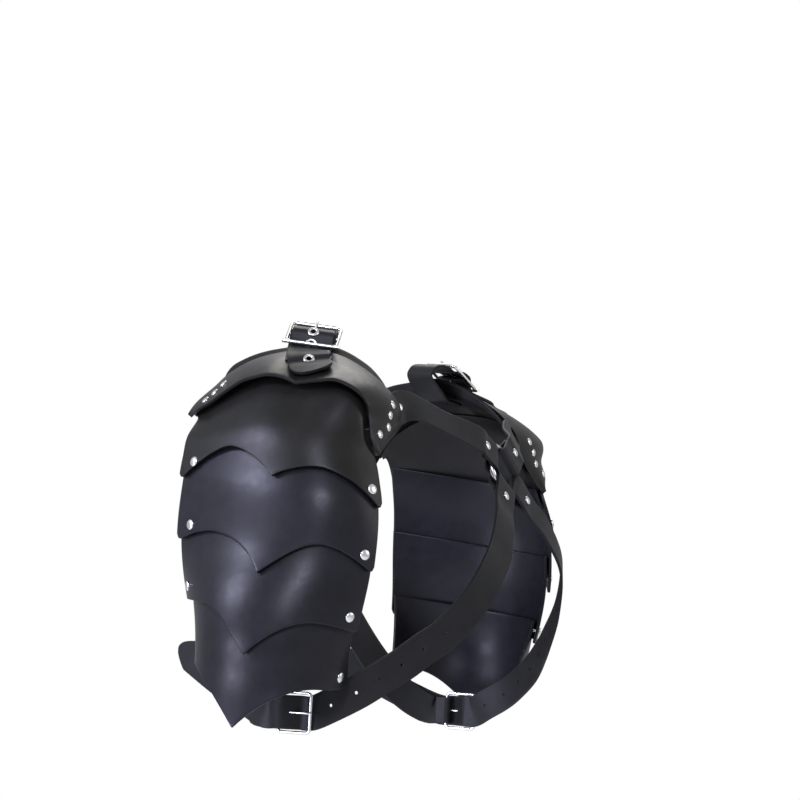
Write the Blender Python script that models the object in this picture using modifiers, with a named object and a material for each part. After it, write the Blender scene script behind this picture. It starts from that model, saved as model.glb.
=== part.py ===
"""Leather shoulder harness: two layered pauldrons on yokes, joined by straps to a chest ring and a back ring.

Units are metres. +X is the wearer's left, -Y the wearer's front and +Z up. The origin lies on the middle plane,
between the shoulders, at the level where the caps sit. Left pieces are modelled and each is mirrored to the right.
"""

import math

import bmesh
import bpy
from mathutils import Matrix, Vector

# Driving sizes of the pauldrons
SHOULDER_REACH = 0.258      # middle plane to the outermost lame
PAULDRON_DEPTH = 0.190      # front corner to back corner of the first lame
PAULDRON_HEIGHT = 0.340     # shoulder level to the lowest point
FRONT_HANG = 0.185          # drop to the front for each unit of depth
PLATE_THICKNESS = 0.0028
LAP_TUCK = 0.0090           # how far a lame's top edge lies inside its own lower edge
CAP_CROWN = 0.0035          # bulge of the cap across its width
CORNER_ROUND = 0.008

# Driving sizes of the straps
STRAP_WIDTH = 0.030
LOOP_WIDTH = 0.026
STRAP_THICKNESS = 0.0026
ANCHOR_THICKNESS = 0.0016
TONGUE_WIDTH = 0.038
ANCHOR_WIDTH = 0.042
CHEST_WIDTH = 0.336         # outside width of the strap path round the ribs
CHEST_DEPTH = 0.300         # breast to shoulder blades
BUST_HEIGHT = 0.330         # shoulder level to the lowest strap

# Driving sizes of the metal
RING_RADIUS = 0.0256
RING_WIRE = 0.0025
RING_SIDES = 22
BUCKLE_WIRE = 0.0015
ROLLER_RADIUS = 0.0026
BUCKLE_LENGTH = 0.032
PRONG_RADIUS = 0.0011
RIVET_HEAD = 0.0044
RIVET_SHANK = 0.0016
HOLE_RADIUS = 0.0024
HOLE_PITCH = 0.025

CLEARANCE = 0.0004          # gap left between neighbouring pieces
LAYER = PLATE_THICKNESS + CLEARANCE

# Ribs of the sleeve that the lames follow, from the shoulder down. Falls are shares of the pauldron's height,
# x of the shoulder's reach and y of the pauldron's depth. A turn is the way that an end faces, in degrees
# forward of straight out, and a pull is the length of the end's handle as a share of the rib's chord.
SLEEVE_RIBS = (
    # fall, front x, front y, turn, pull, back x, back y, turn, pull
    (0.235, 0.736, -0.490, 66, 0.32, 0.795, 0.465, -24, 0.58),
    (0.375, 0.756, -0.537, 70, 0.32, 0.833, 0.474, -23, 0.60),
    (0.553, 0.767, -0.503, 63, 0.36, 0.833, 0.484, -28, 0.56),
    (0.706, 0.756, -0.416, 80, 0.48, 0.787, 0.458, -62, 0.56),
    (0.859, 0.682, -0.305, 102, 0.74, 0.705, 0.400, -92, 0.76),
    (1.000, 0.682, -0.295, 102, 0.74, 0.705, 0.400, -92, 0.76),
)

# Lower edges of the lames: falls are shares of the pauldron's height, places are shares of the way from the
# front edge (0) to the back edge (1).
LAMES = (
    # top fall, front corner, front dip, place, point, place, back dip, place, back corner
    (0.235, 0.375, 0.299, 0.345, 0.346, 0.586, 0.283, 0.778, 0.385),
    (0.262, 0.544, 0.500, 0.270, 0.597, 0.531, 0.513, 0.820, 0.550),
    (0.453, 0.707, 0.700, 0.200, 0.806, 0.482, 0.700, 0.740, 0.703),
    (0.650, 0.856, 0.866, 0.130, 0.994, 0.522, 0.860, 0.850, 0.853),
)

# The cap's two long edges, row by row from the front tip over the shoulder to the back tip. x is a share of the
# shoulder's reach, y of the pauldron's depth and z of its height.
CAP_ROWS = (
    # inner x, y, z, outer x, y, z
    (0.678, -0.490, -0.285, 0.700, -0.488, -0.295),
    (0.632, -0.480, -0.253, 0.725, -0.485, -0.250),
    (0.562, -0.474, -0.206, 0.736, -0.468, -0.206),
    (0.516, -0.463, -0.150, 0.771, -0.468, -0.165),
    (0.527, -0.390, -0.096, 0.802, -0.432, -0.132),
    (0.535, -0.293, -0.050, 0.826, -0.347, -0.107),
    (0.543, -0.176, -0.011, 0.837, -0.253, -0.107),
    (0.543, -0.037, 0.013, 0.841, -0.153, -0.111),
    (0.543, 0.042, 0.016, 0.841, -0.079, -0.091),
    (0.543, 0.119, 0.0135, 0.837, 0.000, -0.082),
    (0.547, 0.234, 0.006, 0.831, 0.079, -0.085),
    (0.554, 0.324, -0.009, 0.826, 0.158, -0.094),
    (0.566, 0.413, -0.035, 0.810, 0.263, -0.119),
    (0.581, 0.463, -0.066, 0.795, 0.347, -0.141),
    (0.640, 0.519, -0.116, 0.775, 0.432, -0.156),
    (0.730, 0.505, -0.160, 0.752, 0.482, -0.170),
)
YOKE_FRONT_ROW, YOKE_BACK_ROW = 4.0, 12.5
YOKE_NECK, YOKE_HIDDEN = -0.19, 0.333   # shares of the cap's width, from its inner edge
YOKE_RISE = 0.0035          # how far the yoke curls up at its neck edge
LAME_FRONT_ROW, LAME_BACK_ROW = 1.4, 14.7

# Strap routes on the left side. x is a share of the chest's width, y of its depth and z of the bust's height, and
# the last three columns are the way that the strap's outer face looks.
CHEST_STRAP_ROUTE = (
    (0.500, -0.280, -0.235, 0.10, -0.98, 0.15),
    (0.425, -0.276, -0.215, 0.10, -0.97, 0.20),
    (0.355, -0.290, -0.162, 0.10, -0.95, 0.30),
    (0.320, -0.318, -0.150, 0.05, -0.90, 0.42),
    (0.223, -0.363, -0.185, 0.00, -0.90, 0.43),
)
UNDER_ARM_ROUTE = (
    (0.149, -0.518, -0.464, 0.16, -0.95, 0.27),
    (0.220, -0.532, -0.561, 0.30, -0.94, 0.10),
    (0.283, -0.490, -0.677, 0.45, -0.89, -0.05),
    (0.345, -0.420, -0.773, 0.62, -0.78, -0.08),
    (0.393, -0.373, -0.815, 0.72, -0.69, -0.06),
    (0.432, -0.323, -0.858, 0.82, -0.57, -0.05),
    (0.461, -0.267, -0.894, 0.90, -0.44, -0.04),
    (0.482, -0.203, -0.930, 0.96, -0.29, -0.03),
    (0.494, -0.127, -0.964, 0.99, -0.12, -0.02),
)
TAIL_ROUTE = (
    (0.520, 0.125, -0.955, 0.98, 0.15, 0.02),
    (0.490, 0.262, -0.890, 0.97, 0.22, 0.04),
    (0.450, 0.427, -0.800, 0.96, 0.26, 0.06),
)
BACK_STRAP_ROUTE = (
    (0.520, 0.283, -0.165, 0.35, 0.90, 0.20),
    (0.450, 0.285, -0.135, 0.25, 0.93, 0.25),
    (0.375, 0.305, -0.118, 0.15, 0.94, 0.30),
    (0.280, 0.335, -0.150, 0.05, 0.96, 0.26),
    (0.210, 0.345, -0.205, 0.02, 0.98, 0.20),
)
LOWER_BACK_ROUTE = (
    (0.190, 0.335, -0.470, 0.15, 0.98, 0.05),
    (0.290, 0.305, -0.640, 0.35, 0.93, 0.00),
    (0.385, 0.250, -0.800, 0.62, 0.78, -0.02),
    (0.455, 0.170, -0.920, 0.85, 0.52, -0.02),
)

CHEST_RING_PLACE = Vector((0.0, -0.440 * CHEST_DEPTH, -0.303 * BUST_HEIGHT))
CHEST_RING_FACE = Vector((0.0, -0.951, 0.309))
BACK_RING_PLACE = Vector((0.0, 0.335 * CHEST_DEPTH, -0.330 * BUST_HEIGHT))
BACK_RING_FACE = Vector((0.0, 0.985, 0.174))
UPPER_LOOP_ANGLE = math.radians(33)
LOWER_LOOP_ANGLE = math.radians(-49)

# Shoulder buckle: the roller's middle and the tongue's end
ROLLER_PLACE = Vector((0.504 * SHOULDER_REACH, -0.032 * PAULDRON_DEPTH, 0.090 * PAULDRON_HEIGHT))
BUCKLE_LEAN = Vector((0.0, -0.16, 1.0))
TONGUE_END = Vector((0.756 * SHOULDER_REACH, -0.147 * PAULDRON_DEPTH, -0.050 * PAULDRON_HEIGHT))
SIDE_BUCKLE_PLACE = Vector((0.520 * CHEST_WIDTH, -0.020 * CHEST_DEPTH, -0.982 * BUST_HEIGHT))


def material(name, colour, roughness, metallic):
    finish = bpy.data.materials.new(name)
    finish.use_nodes = True
    shader = finish.node_tree.nodes["Principled BSDF"]
    shader.inputs["Base Color"].default_value = (*colour, 1.0)
    shader.inputs["Roughness"].default_value = roughness
    shader.inputs["Metallic"].default_value = metallic
    finish.diffuse_color = (*colour, 1.0)
    return finish


def curve_through(rows, place):
    """A smooth curve through the rows of a table, read at a place counted in rows."""
    last = len(rows) - 1
    start = min(max(int(math.floor(place)), 0), last - 1)
    share = place - start
    near = [rows[min(max(start + step, 0), last)] for step in (-1, 0, 1, 2)]
    mixed = []
    for before, first, second, after in zip(*near):
        slope_in, slope_out = (second - before) / 2, (after - first) / 2
        mixed.append(
            first
            + slope_in * share
            + (3 * (second - first) - 2 * slope_in - slope_out) * share**2
            + (2 * (first - second) + slope_in + slope_out) * share**3
        )
    return mixed


def ease(share):
    share = min(max(share, 0.0), 1.0)
    return share * share * (3 - 2 * share)


def rib_at(fall):
    """The sleeve's rib at a fall, a share of the pauldron's height."""
    falls = [row[0] for row in SLEEVE_RIBS]
    upper = max(k for k in range(len(falls) - 1) if falls[k] <= max(fall, falls[0]))
    share = (fall - falls[upper]) / (falls[upper + 1] - falls[upper])
    first, second = SLEEVE_RIBS[upper], SLEEVE_RIBS[upper + 1]
    return [a + (b - a) * share for a, b in zip(first, second)]


def sleeve(along, fall, lift):
    """A point of the sleeve: along runs from the front edge (0) to the back edge (1), and lift is outward."""
    _, front_x, front_y, front_turn, front_pull, back_x, back_y, back_turn, back_pull = rib_at(fall)
    front = Vector((front_x * SHOULDER_REACH, front_y * PAULDRON_DEPTH))
    back = Vector((back_x * SHOULDER_REACH, back_y * PAULDRON_DEPTH))
    chord = (back - front).length
    front_angle, back_angle = math.radians(front_turn), math.radians(back_turn)
    handle_in = front + Vector((math.sin(front_angle), math.cos(front_angle))) * front_pull * chord
    handle_out = back - Vector((math.sin(back_angle), math.cos(back_angle))) * back_pull * chord
    rest = 1 - along
    spot = (rest**3 * front + 3 * rest**2 * along * handle_in + 3 * rest * along**2 * handle_out
            + along**3 * back)
    slope = (rest**2 * (handle_in - front) + 2 * rest * along * (handle_out - handle_in)
             + along**2 * (back - handle_out)).normalized()
    spot += Vector((slope.y, -slope.x)) * lift
    return Vector((spot.x, spot.y, FRONT_HANG * spot.y - fall * PAULDRON_HEIGHT))


def lame_edge(lame, along):
    """The fall of a lame's lower edge: a point in the middle, a dip on each side and hanging corners."""
    _, front_corner, front_dip, front_place, point, point_place, back_dip, back_place, back_corner = lame
    if along < point_place:
        corner, dip, dip_place, side = front_corner, front_dip, front_place, -1
    else:
        corner, dip, dip_place, side = back_corner, back_dip, back_place, 1
    from_point = abs(along - point_place) / abs(dip_place - point_place)
    if from_point < 1:
        return dip + (point - dip) * (1 - from_point) ** 1.7
    corner_place = (1 + side) / 2
    return dip + (corner - dip) * ease((along - dip_place) / (corner_place - dip_place))


def cap_point(row, across, lift=0.0):
    """A point of the cap: row counts along its length, across runs from its inner (0) to its outer edge (1)."""
    scale = (SHOULDER_REACH, PAULDRON_DEPTH, PAULDRON_HEIGHT) * 2
    values = [value * size for value, size in zip(curve_through(CAP_ROWS, row), scale)]
    inner, outer = Vector(values[:3]), Vector(values[3:])
    step = 0.05
    ahead = [value * size for value, size in zip(curve_through(CAP_ROWS, min(row + step, 15)), scale)]
    behind = [value * size for value, size in zip(curve_through(CAP_ROWS, max(row - step, 0)), scale)]
    along = (Vector(ahead[:3]) + Vector(ahead[3:]) - Vector(behind[:3]) - Vector(behind[3:])).normalized()
    face = (outer - inner).cross(along).normalized()
    crown = 4 * across * (1 - across) * CAP_CROWN if 0 < across < 1 else 0.0
    return inner + (outer - inner) * across + face * (crown + lift)


def cap_face(row, across, reach=0.02):
    """The way that the cap's outer face looks, over a stretch of rows on both sides."""
    step = 0.02
    along = cap_point(min(row + reach, 15), across) - cap_point(max(row - reach, 0), across)
    over = cap_point(row, across + step) - cap_point(row, across - step)
    return over.cross(along).normalized()


def lame_tuck(lame, fall):
    """How far a lame lies inside the sleeve at a fall. The first lame has only the cap over it."""
    corner = (lame[1] + lame[8]) / 2
    depth = 0.25 * LAP_TUCK if lame is LAMES[0] else LAP_TUCK
    return max(depth * ((fall - lame[0]) / (corner - lame[0]) - 1), -1.2 * depth)


def under_cap(along, across):
    """A point under the cap, on the part of the first lame that the cap hides."""
    return cap_point(LAME_FRONT_ROW + (LAME_BACK_ROW - LAME_FRONT_ROW) * along, across, -LAYER - 8 * CLEARANCE)


def lame_fall(lame, along, down):
    """The fall at a place of a lame: down runs from its top edge (0) to its lower edge (1)."""
    edge = lame_edge(lame, along)
    if lame is not LAMES[0]:
        return lame[0] + (edge - lame[0]) * down
    brow = under_cap(along, 1.0)
    middle = ((FRONT_HANG * brow.y - brow.z) / PAULDRON_HEIGHT + edge) / 2
    return middle + (edge - middle) * (3 * down - 2)


def lame_point(lame, along, down):
    """A point of a lame. The first one comes out from under the cap in a smooth curve."""
    if lame is not LAMES[0]:
        fall = lame_fall(lame, along, down)
        return sleeve(along, fall, lame_tuck(lame, fall))
    knots = [under_cap(along, 0.62), under_cap(along, 1.0)]
    for place in (2 / 3, 1.0):
        fall = lame_fall(lame, along, place)
        knots.append(sleeve(along, fall, lame_tuck(lame, fall)))
    return Vector(curve_through(knots, 3 * down))


def add_mesh(name, mesh, finish):
    piece = bpy.data.objects.new(name, mesh)
    HARNESS.objects.link(piece)
    mesh.materials.clear()
    mesh.materials.append(finish)
    return piece


def sheet(name, place_at, cells_along, cells_across, thickness, finish, round_corners=0.0):
    """A leather sheet: a grid laid on place_at(along, across), both from 0 to 1, and given its thickness."""
    shape = bmesh.new()
    bmesh.ops.create_grid(shape, x_segments=cells_along, y_segments=cells_across, size=1.0)
    corners = [vert for vert in shape.verts if len(vert.link_edges) == 2]
    for vert in shape.verts:
        vert.co = place_at((vert.co.x + 1) / 2, (vert.co.y + 1) / 2)
    if round_corners:
        bmesh.ops.bevel(shape, geom=corners, offset=round_corners, segments=2, profile=0.5,
                        affect="VERTICES", clamp_overlap=True)
    mesh = bpy.data.meshes.new(name)
    shape.to_mesh(mesh)
    shape.free()
    piece = add_mesh(name, mesh, finish)
    wall = piece.modifiers.new("thickness", "SOLIDIFY")
    wall.thickness = thickness
    wall.offset = 0.0
    wall.use_even_offset = True
    mesh.shade_smooth()
    return piece


def ribbon(name, stations, widths, thickness, finish, cells_across=1, tip=0.0):
    """A strap along stations of (point, face), with its width at each station and an optional pointed end."""
    last = len(stations) - 1
    points = [point for point, _ in stations]
    crosses = []
    for k, (_, face) in enumerate(stations):
        way = points[min(k + 1, last)] - points[max(k - 1, 0)]
        crosses.append(way.cross(face).normalized())

    def place_at(along, across):
        k = round(along * last)
        centre, cross = points[k], crosses[k]
        offset = (across - 0.5) * widths[k]
        if tip and k == last:
            back = (2 * abs(across - 0.5)) ** 2 * tip
            centre = centre - (points[k] - points[k - 1]).normalized() * back
        return centre + cross * offset

    return sheet(name, place_at, last, cells_across, thickness, finish)


def chest_spot(row):
    x, y, z, *face = row
    return Vector((x * CHEST_WIDTH, y * CHEST_DEPTH, z * BUST_HEIGHT)), Vector(face).normalized()


def spread(stations, cells):
    """The same route as evenly numbered stations on a smooth curve."""
    rows = [(*point, *face) for point, face in stations]
    smooth = []
    for k in range(cells + 1):
        row = curve_through(rows, k * (len(rows) - 1) / cells)
        smooth.append((Vector(row[:3]), Vector(row[3:]).normalized()))
    return smooth


def ring_loop(centre, face, angle):
    """Stations of a strap end that comes in over a ring's wire, folds round it and lies back under itself."""
    run = 0.024
    up = Vector((0, 0, 1)) - face * face.z
    up.normalize()
    away = Vector((1, 0, 0)) * math.cos(angle) + up * math.sin(angle)
    half = RING_WIRE + 1.5 * CLEARANCE + STRAP_THICKNESS / 2
    slack = RING_RADIUS - math.sqrt(RING_RADIUS**2 - (LOOP_WIDTH / 2) ** 2) + 2 * CLEARANCE
    under = half - STRAP_THICKNESS - CLEARANCE
    fold = RING_RADIUS - slack
    profile = [(RING_RADIUS + run, half, 90), (RING_RADIUS + 0.5 * run, half, 90), (RING_RADIUS, half, 90)]
    for turn in (90, 45, 0, -45, -90):
        a = math.radians(turn)
        profile.append((fold - half * math.cos(a), half * math.sin(a), turn))
    profile.append((RING_RADIUS + 0.001, -half, -90))
    profile.append((RING_RADIUS + 0.006, -0.45 * half, -70))
    profile.append((RING_RADIUS + 0.011, under, -90))
    profile.append((RING_RADIUS + 0.017, under, -90))
    stations = []
    for out, level, turn in profile:
        a = math.radians(turn)
        looks = -away * math.cos(a) + face * math.sin(a)
        stations.append((centre + away * out + face * level, looks))
    return stations


def turned(name, profile, steps, finish, place=None):
    """A turned piece from a profile of (radius, height), top to bottom."""
    mesh = bpy.data.meshes.new(name)
    mesh.from_pydata([(radius, 0.0, height) for radius, height in profile],
                     [(k, k + 1) for k in range(len(profile) - 1)], [])
    piece = add_mesh(name, mesh, finish)
    screw = piece.modifiers.new("turn", "SCREW")
    screw.steps = screw.render_steps = steps
    screw.use_merge_vertices = True
    screw.merge_threshold = 0.00001
    screw.use_smooth_shade = True
    if place:
        spot, face = place
        piece.matrix_world = Matrix.Translation(spot) @ face.to_track_quat("Z", "Y").to_matrix().to_4x4()
    return piece


def rivet(name, spot, face, shank_length, finish):
    """A domed rivet on a leather face, its shank going in and closed by a small washer."""
    rise = 0.4 * RIVET_HEAD
    profile = [(0.0, rise), (RIVET_HEAD, 0.0), (RIVET_SHANK, 0.0),
               (RIVET_SHANK, -shank_length)]
    if shank_length > PLATE_THICKNESS:
        washer = 0.7 * RIVET_HEAD
        profile += [(washer, -shank_length), (washer, -shank_length - 0.3 * rise)]
        profile.append((0.0, -shank_length - 0.5 * rise))
    else:
        profile.append((0.0, -shank_length))
    return turned(name, profile, 8, finish, (spot + face * CLEARANCE, face))


def wire(name, points, radius, closed, finish):
    """A round wire through points, as a closed or capped tube."""
    path = bpy.data.curves.new(name, "CURVE")
    path.dimensions = "3D"
    path.bevel_depth = radius
    path.bevel_resolution = 1
    path.use_fill_caps = not closed
    spline = path.splines.new("POLY")
    spline.points.add(len(points) - 1)
    for knot, point in zip(spline.points, points):
        knot.co = (*point, 1.0)
    spline.use_cyclic_u = closed
    tube = bpy.data.objects.new(name, path)
    HARNESS.objects.link(tube)
    graph = bpy.context.evaluated_depsgraph_get()
    mesh = bpy.data.meshes.new_from_object(tube.evaluated_get(graph))
    shape = bmesh.new()
    shape.from_mesh(mesh)
    bmesh.ops.remove_doubles(shape, verts=shape.verts, dist=0.00001)
    bmesh.ops.recalc_face_normals(shape, faces=shape.faces)
    shape.to_mesh(mesh)
    shape.free()
    bpy.data.objects.remove(tube)
    bpy.data.curves.remove(path)
    mesh.shade_smooth()
    return add_mesh(name, mesh, finish)


def as_cutter(piece):
    HARNESS.objects.unlink(piece)
    CUTTERS.objects.link(piece)
    piece.hide_render = True
    piece.display_type = "WIRE"
    return piece


def boolean(piece, other, operation):
    change = piece.modifiers.new(operation.lower(), "BOOLEAN")
    change.operation = operation
    change.object = other
    change.solver = "EXACT"


def punch(name, spots, radius):
    """Round punches through leather at spots of (point, face)."""
    shape = bmesh.new()
    for point, face in spots:
        turn = face.to_track_quat("Z", "Y").to_matrix().to_4x4()
        bmesh.ops.create_cone(shape, cap_ends=True, segments=8, radius1=radius, radius2=radius,
                              depth=10 * STRAP_THICKNESS, matrix=Matrix.Translation(point) @ turn)
    mesh = bpy.data.meshes.new(name)
    shape.to_mesh(mesh)
    shape.free()
    return as_cutter(add_mesh(name, mesh, LEATHER))


def mirrored(piece, name):
    """The finished piece's mirror image on the wearer's right, as an object of its own."""
    bpy.context.view_layer.update()
    graph = bpy.context.evaluated_depsgraph_get()
    mesh = bpy.data.meshes.new_from_object(piece.evaluated_get(graph))
    mesh.transform(Matrix.Scale(-1, 4, Vector((1, 0, 0))) @ piece.matrix_world)
    mesh.flip_normals()
    mesh.name = name
    twin = bpy.data.objects.new(name, mesh)
    HARNESS.objects.link(twin)
    return twin


def make_lames():
    pieces = []
    holes = {k: [] for k in range(len(LAMES))}
    fastenings = []
    for k, lame in enumerate(LAMES):
        for side, along in (("front", 0.075), ("back", 0.93)):
            down = 0.84
            spot = lame_point(lame, along, down)
            ahead = lame_point(lame, along + 0.01, down) - lame_point(lame, along - 0.01, down)
            below = lame_point(lame, along, down + 0.02) - lame_point(lame, along, down - 0.02)
            face = below.cross(ahead).normalized()
            holes[k].append((spot, face))
            length = PLATE_THICKNESS + 5 * CLEARANCE
            if k + 1 < len(LAMES):
                holes[k + 1].append((spot, face))
                fall = lame_fall(lame, along, down)
                length += lame_tuck(lame, fall) - lame_tuck(LAMES[k + 1], fall) + CLEARANCE
            fastenings.append((f"lame_{k + 1}_{side}_rivet", spot + face * PLATE_THICKNESS / 2, face, length))
    for k, lame in enumerate(LAMES):
        piece = sheet(f"lame_{k + 1}", lambda along, down: lame_point(lame, along, down), 14, 4,
                      PLATE_THICKNESS, PLATE_LEATHER, CORNER_ROUND)
        boolean(piece, punch(f"lame_{k + 1}_punch", holes[k], RIVET_SHANK + CLEARANCE), "DIFFERENCE")
        pieces.append(piece)
    for name, spot, face, length in fastenings:
        pieces.append(rivet(name, spot, face, length, NICKEL))
    return pieces


def make_cap_and_yoke():
    cap = sheet("shoulder_cap", lambda along, across: cap_point(along * 15, across), 30, 3,
                PLATE_THICKNESS, PLATE_LEATHER)
    span = YOKE_BACK_ROW - YOKE_FRONT_ROW

    def yoke_at(along, across):
        place = YOKE_NECK + (YOKE_HIDDEN - YOKE_NECK) * across
        rise = YOKE_RISE * max(place / YOKE_NECK, 0.0)
        return cap_point(YOKE_FRONT_ROW + along * span, place, -LAYER - 2 * CLEARANCE + rise)

    yoke = sheet("shoulder_yoke", yoke_at, 16, 3, PLATE_THICKNESS, LEATHER)
    return [cap, yoke]


def make_rings():
    rings = []
    for name, centre, face in (("chest_ring", CHEST_RING_PLACE, CHEST_RING_FACE),
                               ("back_ring", BACK_RING_PLACE, BACK_RING_FACE)):
        up = (Vector((0, 0, 1)) - face * face.z).normalized()
        points = []
        for k in range(RING_SIDES):
            a = math.tau * k / RING_SIDES
            points.append(centre + (Vector((1, 0, 0)) * math.cos(a) + up * math.sin(a)) * RING_RADIUS)
        rings.append(wire(name, points, RING_WIRE, True, NICKEL))
    return rings


def main_straps():
    pieces = []
    for name, route, centre, face in (
        ("chest_strap", CHEST_STRAP_ROUTE, CHEST_RING_PLACE, CHEST_RING_FACE),
        ("back_strap", BACK_STRAP_ROUTE, BACK_RING_PLACE, BACK_RING_FACE),
    ):
        loop = ring_loop(centre, face, UPPER_LOOP_ANGLE)
        run = spread([chest_spot(row) for row in route] + loop[:1], 9)
        pieces.append(ribbon(name, run + loop[1:], [STRAP_WIDTH] * 8 + [LOOP_WIDTH] * (len(loop) + 1),
                             STRAP_THICKNESS, LEATHER))
    return pieces


def bar_loop(centre, way, face, bar, thickness):
    """Stations of a strap end folded round a bar: out along the strap's way, round the bar and back beneath."""
    half = bar + CLEARANCE + thickness / 2
    stations = []
    for turn in (90, 45, 0, -45, -90):
        a = math.radians(turn)
        looks = face * math.sin(a) - way * math.cos(a)
        stations.append((centre + looks * half, looks))
    return stations


def buckle_frame(name, centre, way, face, near, far, bars, inner_width, roller):
    """A bent wire frame with its straight cross bars. Bars lie at distances along the way from the centre."""
    cross = way.cross(face).normalized()
    half = inner_width / 2 + BUCKLE_WIRE
    curve = 0.0035
    points = []
    for end, side in ((near, -1), (near, 1), (far, 1), (far, -1)):
        inward = math.copysign(1, far - near) * (1 if end == near else -1)
        spots = [(end, side * (half - curve)), (end + inward * curve * 0.3, side * (half - curve * 0.3)),
                 (end + inward * curve, side * half)]
        points += spots if (end == near) == (side == 1) else spots[::-1]
    frame = wire(name, [centre + way * a + cross * b for a, b in points], BUCKLE_WIRE, True, NICKEL)
    for k, bar in enumerate(bars):
        thick = ROLLER_RADIUS if roller and k == 0 else BUCKLE_WIRE * 0.94
        reach = half - BUCKLE_WIRE * 1.3 if thick == ROLLER_RADIUS else half
        rod = wire(f"{name}_bar_{k + 1}", [centre + way * bar - cross * reach, centre + way * bar + cross * reach],
                   thick, False, NICKEL)
        boolean(frame, as_cutter(rod), "UNION")
    return frame


def prong(name, hinge, rest, face):
    """A prong hooked round its hinge bar, lying out to its resting place on the frame."""
    way = (rest - hinge).normalized()
    curl = BUCKLE_WIRE + CLEARANCE + PRONG_RADIUS
    hook = []
    for turn in (-50, -90, -135, 180, 135, 90):
        a = math.radians(turn)
        hook.append(hinge + way * curl * math.cos(a) + face * curl * math.sin(a))
    points = hook + [rest]
    return wire(name, points, PRONG_RADIUS, False, NICKEL)


def slot(name, centre, way, cross, face, length, width, depth):
    shape = bmesh.new()
    bmesh.ops.create_cube(shape, size=1.0)
    mesh = bpy.data.meshes.new(name)
    shape.to_mesh(mesh)
    shape.free()
    turn = Matrix((way, cross, face)).transposed().to_4x4()
    mesh.transform(Matrix.Translation(centre) @ turn @ Matrix.Diagonal((length, width, depth, 1.0)))
    if turn.determinant() < 0:
        mesh.flip_normals()
    return as_cutter(add_mesh(name, mesh, LEATHER))


def prong_punch(name, hinge, rest, face):
    curl = BUCKLE_WIRE + CLEARANCE + PRONG_RADIUS
    return as_cutter(wire(name, [hinge + face * curl, rest + (rest - hinge) * 0.2],
                          PRONG_RADIUS + CLEARANCE * 1.5, False, LEATHER))


def shoulder_buckle():
    """The centre-bar buckle on the shoulder, the punched tongue through it and the strap that anchors it."""
    way = (TONGUE_END - ROLLER_PLACE).normalized()
    length = (TONGUE_END - ROLLER_PLACE).length
    face = (BUCKLE_LEAN - way * way.dot(BUCKLE_LEAN)).normalized()
    cross = way.cross(face)

    def spot(along, level):
        return ROLLER_PLACE + way * along * length + face * level

    hinge_share, outer_share = 0.27, 0.46
    frame = buckle_frame("shoulder_buckle", ROLLER_PLACE, way, face, 0.0, outer_share * length,
                         (0.0, hinge_share * length), ANCHOR_WIDTH + 2 * CLEARANCE, True)
    hinge = spot(hinge_share, 0)
    rest = spot(-0.01, ROLLER_RADIUS + CLEARANCE + PRONG_RADIUS)
    pin = prong("shoulder_prong", hinge, rest, face)

    under_roller = -(ROLLER_RADIUS + CLEARANCE + STRAP_THICKNESS / 2)
    over_hinge = BUCKLE_WIRE + CLEARANCE * 2 + 2 * PRONG_RADIUS + STRAP_THICKNESS / 2
    under_end = -(BUCKLE_WIRE + 3 * CLEARANCE + STRAP_THICKNESS / 2)
    root = [(cap_point(row, across, -lift * LAYER), -cap_face(row, 0.10, 0.8))
            for row, across, lift in ((7.35, 0.20, 3.6), (7.30, 0.06, 4.3), (7.25, -0.06, 4.9))]
    for inward, level, turn in ((0.14, -0.0270, 150), (0.19, -0.0200, 110), (0.17, -0.0130, 80), (0.08, -0.0062, 35)):
        looks = face * math.cos(math.radians(turn)) - way * math.sin(math.radians(turn))
        root.append((spot(-inward, level), looks))
    run = [(0.0, under_roller), (0.06, under_roller * 0.5), (0.13, over_hinge * 0.8), (hinge_share, over_hinge),
           (0.325, over_hinge * 0.9), (0.39, under_end * 0.2), (outer_share, under_end)]
    stations = root + [(spot(*place), face) for place in run]
    on_anchor = PLATE_THICKNESS / 2 + ANCHOR_THICKNESS + STRAP_THICKNESS / 2 + 10 * CLEARANCE
    on_cap = (PLATE_THICKNESS + STRAP_THICKNESS) / 2 + 6 * CLEARANCE
    for row, across, lift in ((6.80, 0.48, on_anchor), (6.74, 0.60, on_cap), (6.68, 0.70, on_cap),
                              (6.63, 0.80, on_cap), (6.60, 0.85, on_cap)):
        stations.append((cap_point(row, across, lift), cap_face(row, across, 0.8)))
    widths = [TONGUE_WIDTH] * (len(stations) - 2) + [TONGUE_WIDTH * 0.8, TONGUE_WIDTH * 0.42]
    tongue = ribbon("buckle_tongue", stations, widths, STRAP_THICKNESS, LEATHER, 2)
    boolean(tongue, prong_punch("shoulder_prong_punch", hinge, rest, face), "DIFFERENCE")
    spots = [(spot(0.51, under_end), face), (cap_point(6.70, 0.66, on_cap), cap_face(6.70, 0.66))]
    boolean(tongue, punch("tongue_punch", spots, HOLE_RADIUS), "DIFFERENCE")

    fold = bar_loop(hinge, way, face, BUCKLE_WIRE, ANCHOR_THICKNESS)
    layer = STRAP_THICKNESS / 2 + 2 * CLEARANCE + ANCHOR_THICKNESS / 2
    low = PLATE_THICKNESS / 2 + ANCHOR_THICKNESS / 2 + 3 * CLEARANCE
    top = [(cap_point(6.80, 0.48, low), cap_face(6.80, 0.48, 0.8)), (spot(outer_share, under_end - layer), face),
           (spot(0.40, under_end * 0.6 - layer), face)]
    back = [(hinge + way * 0.004 + fold[-1][0] - hinge, fold[-1][1])]
    anchor = ribbon("buckle_anchor", top + fold + back, [ANCHOR_WIDTH] * (len(top) + len(fold) + 1),
                    ANCHOR_THICKNESS, LEATHER, 2)
    boolean(anchor, slot("anchor_slot", hinge - way * 0.002, way, cross, face, 0.016,
                         2 * PRONG_RADIUS + 3 * CLEARANCE, 0.016), "DIFFERENCE")
    return [frame, pin, tongue, anchor]


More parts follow.
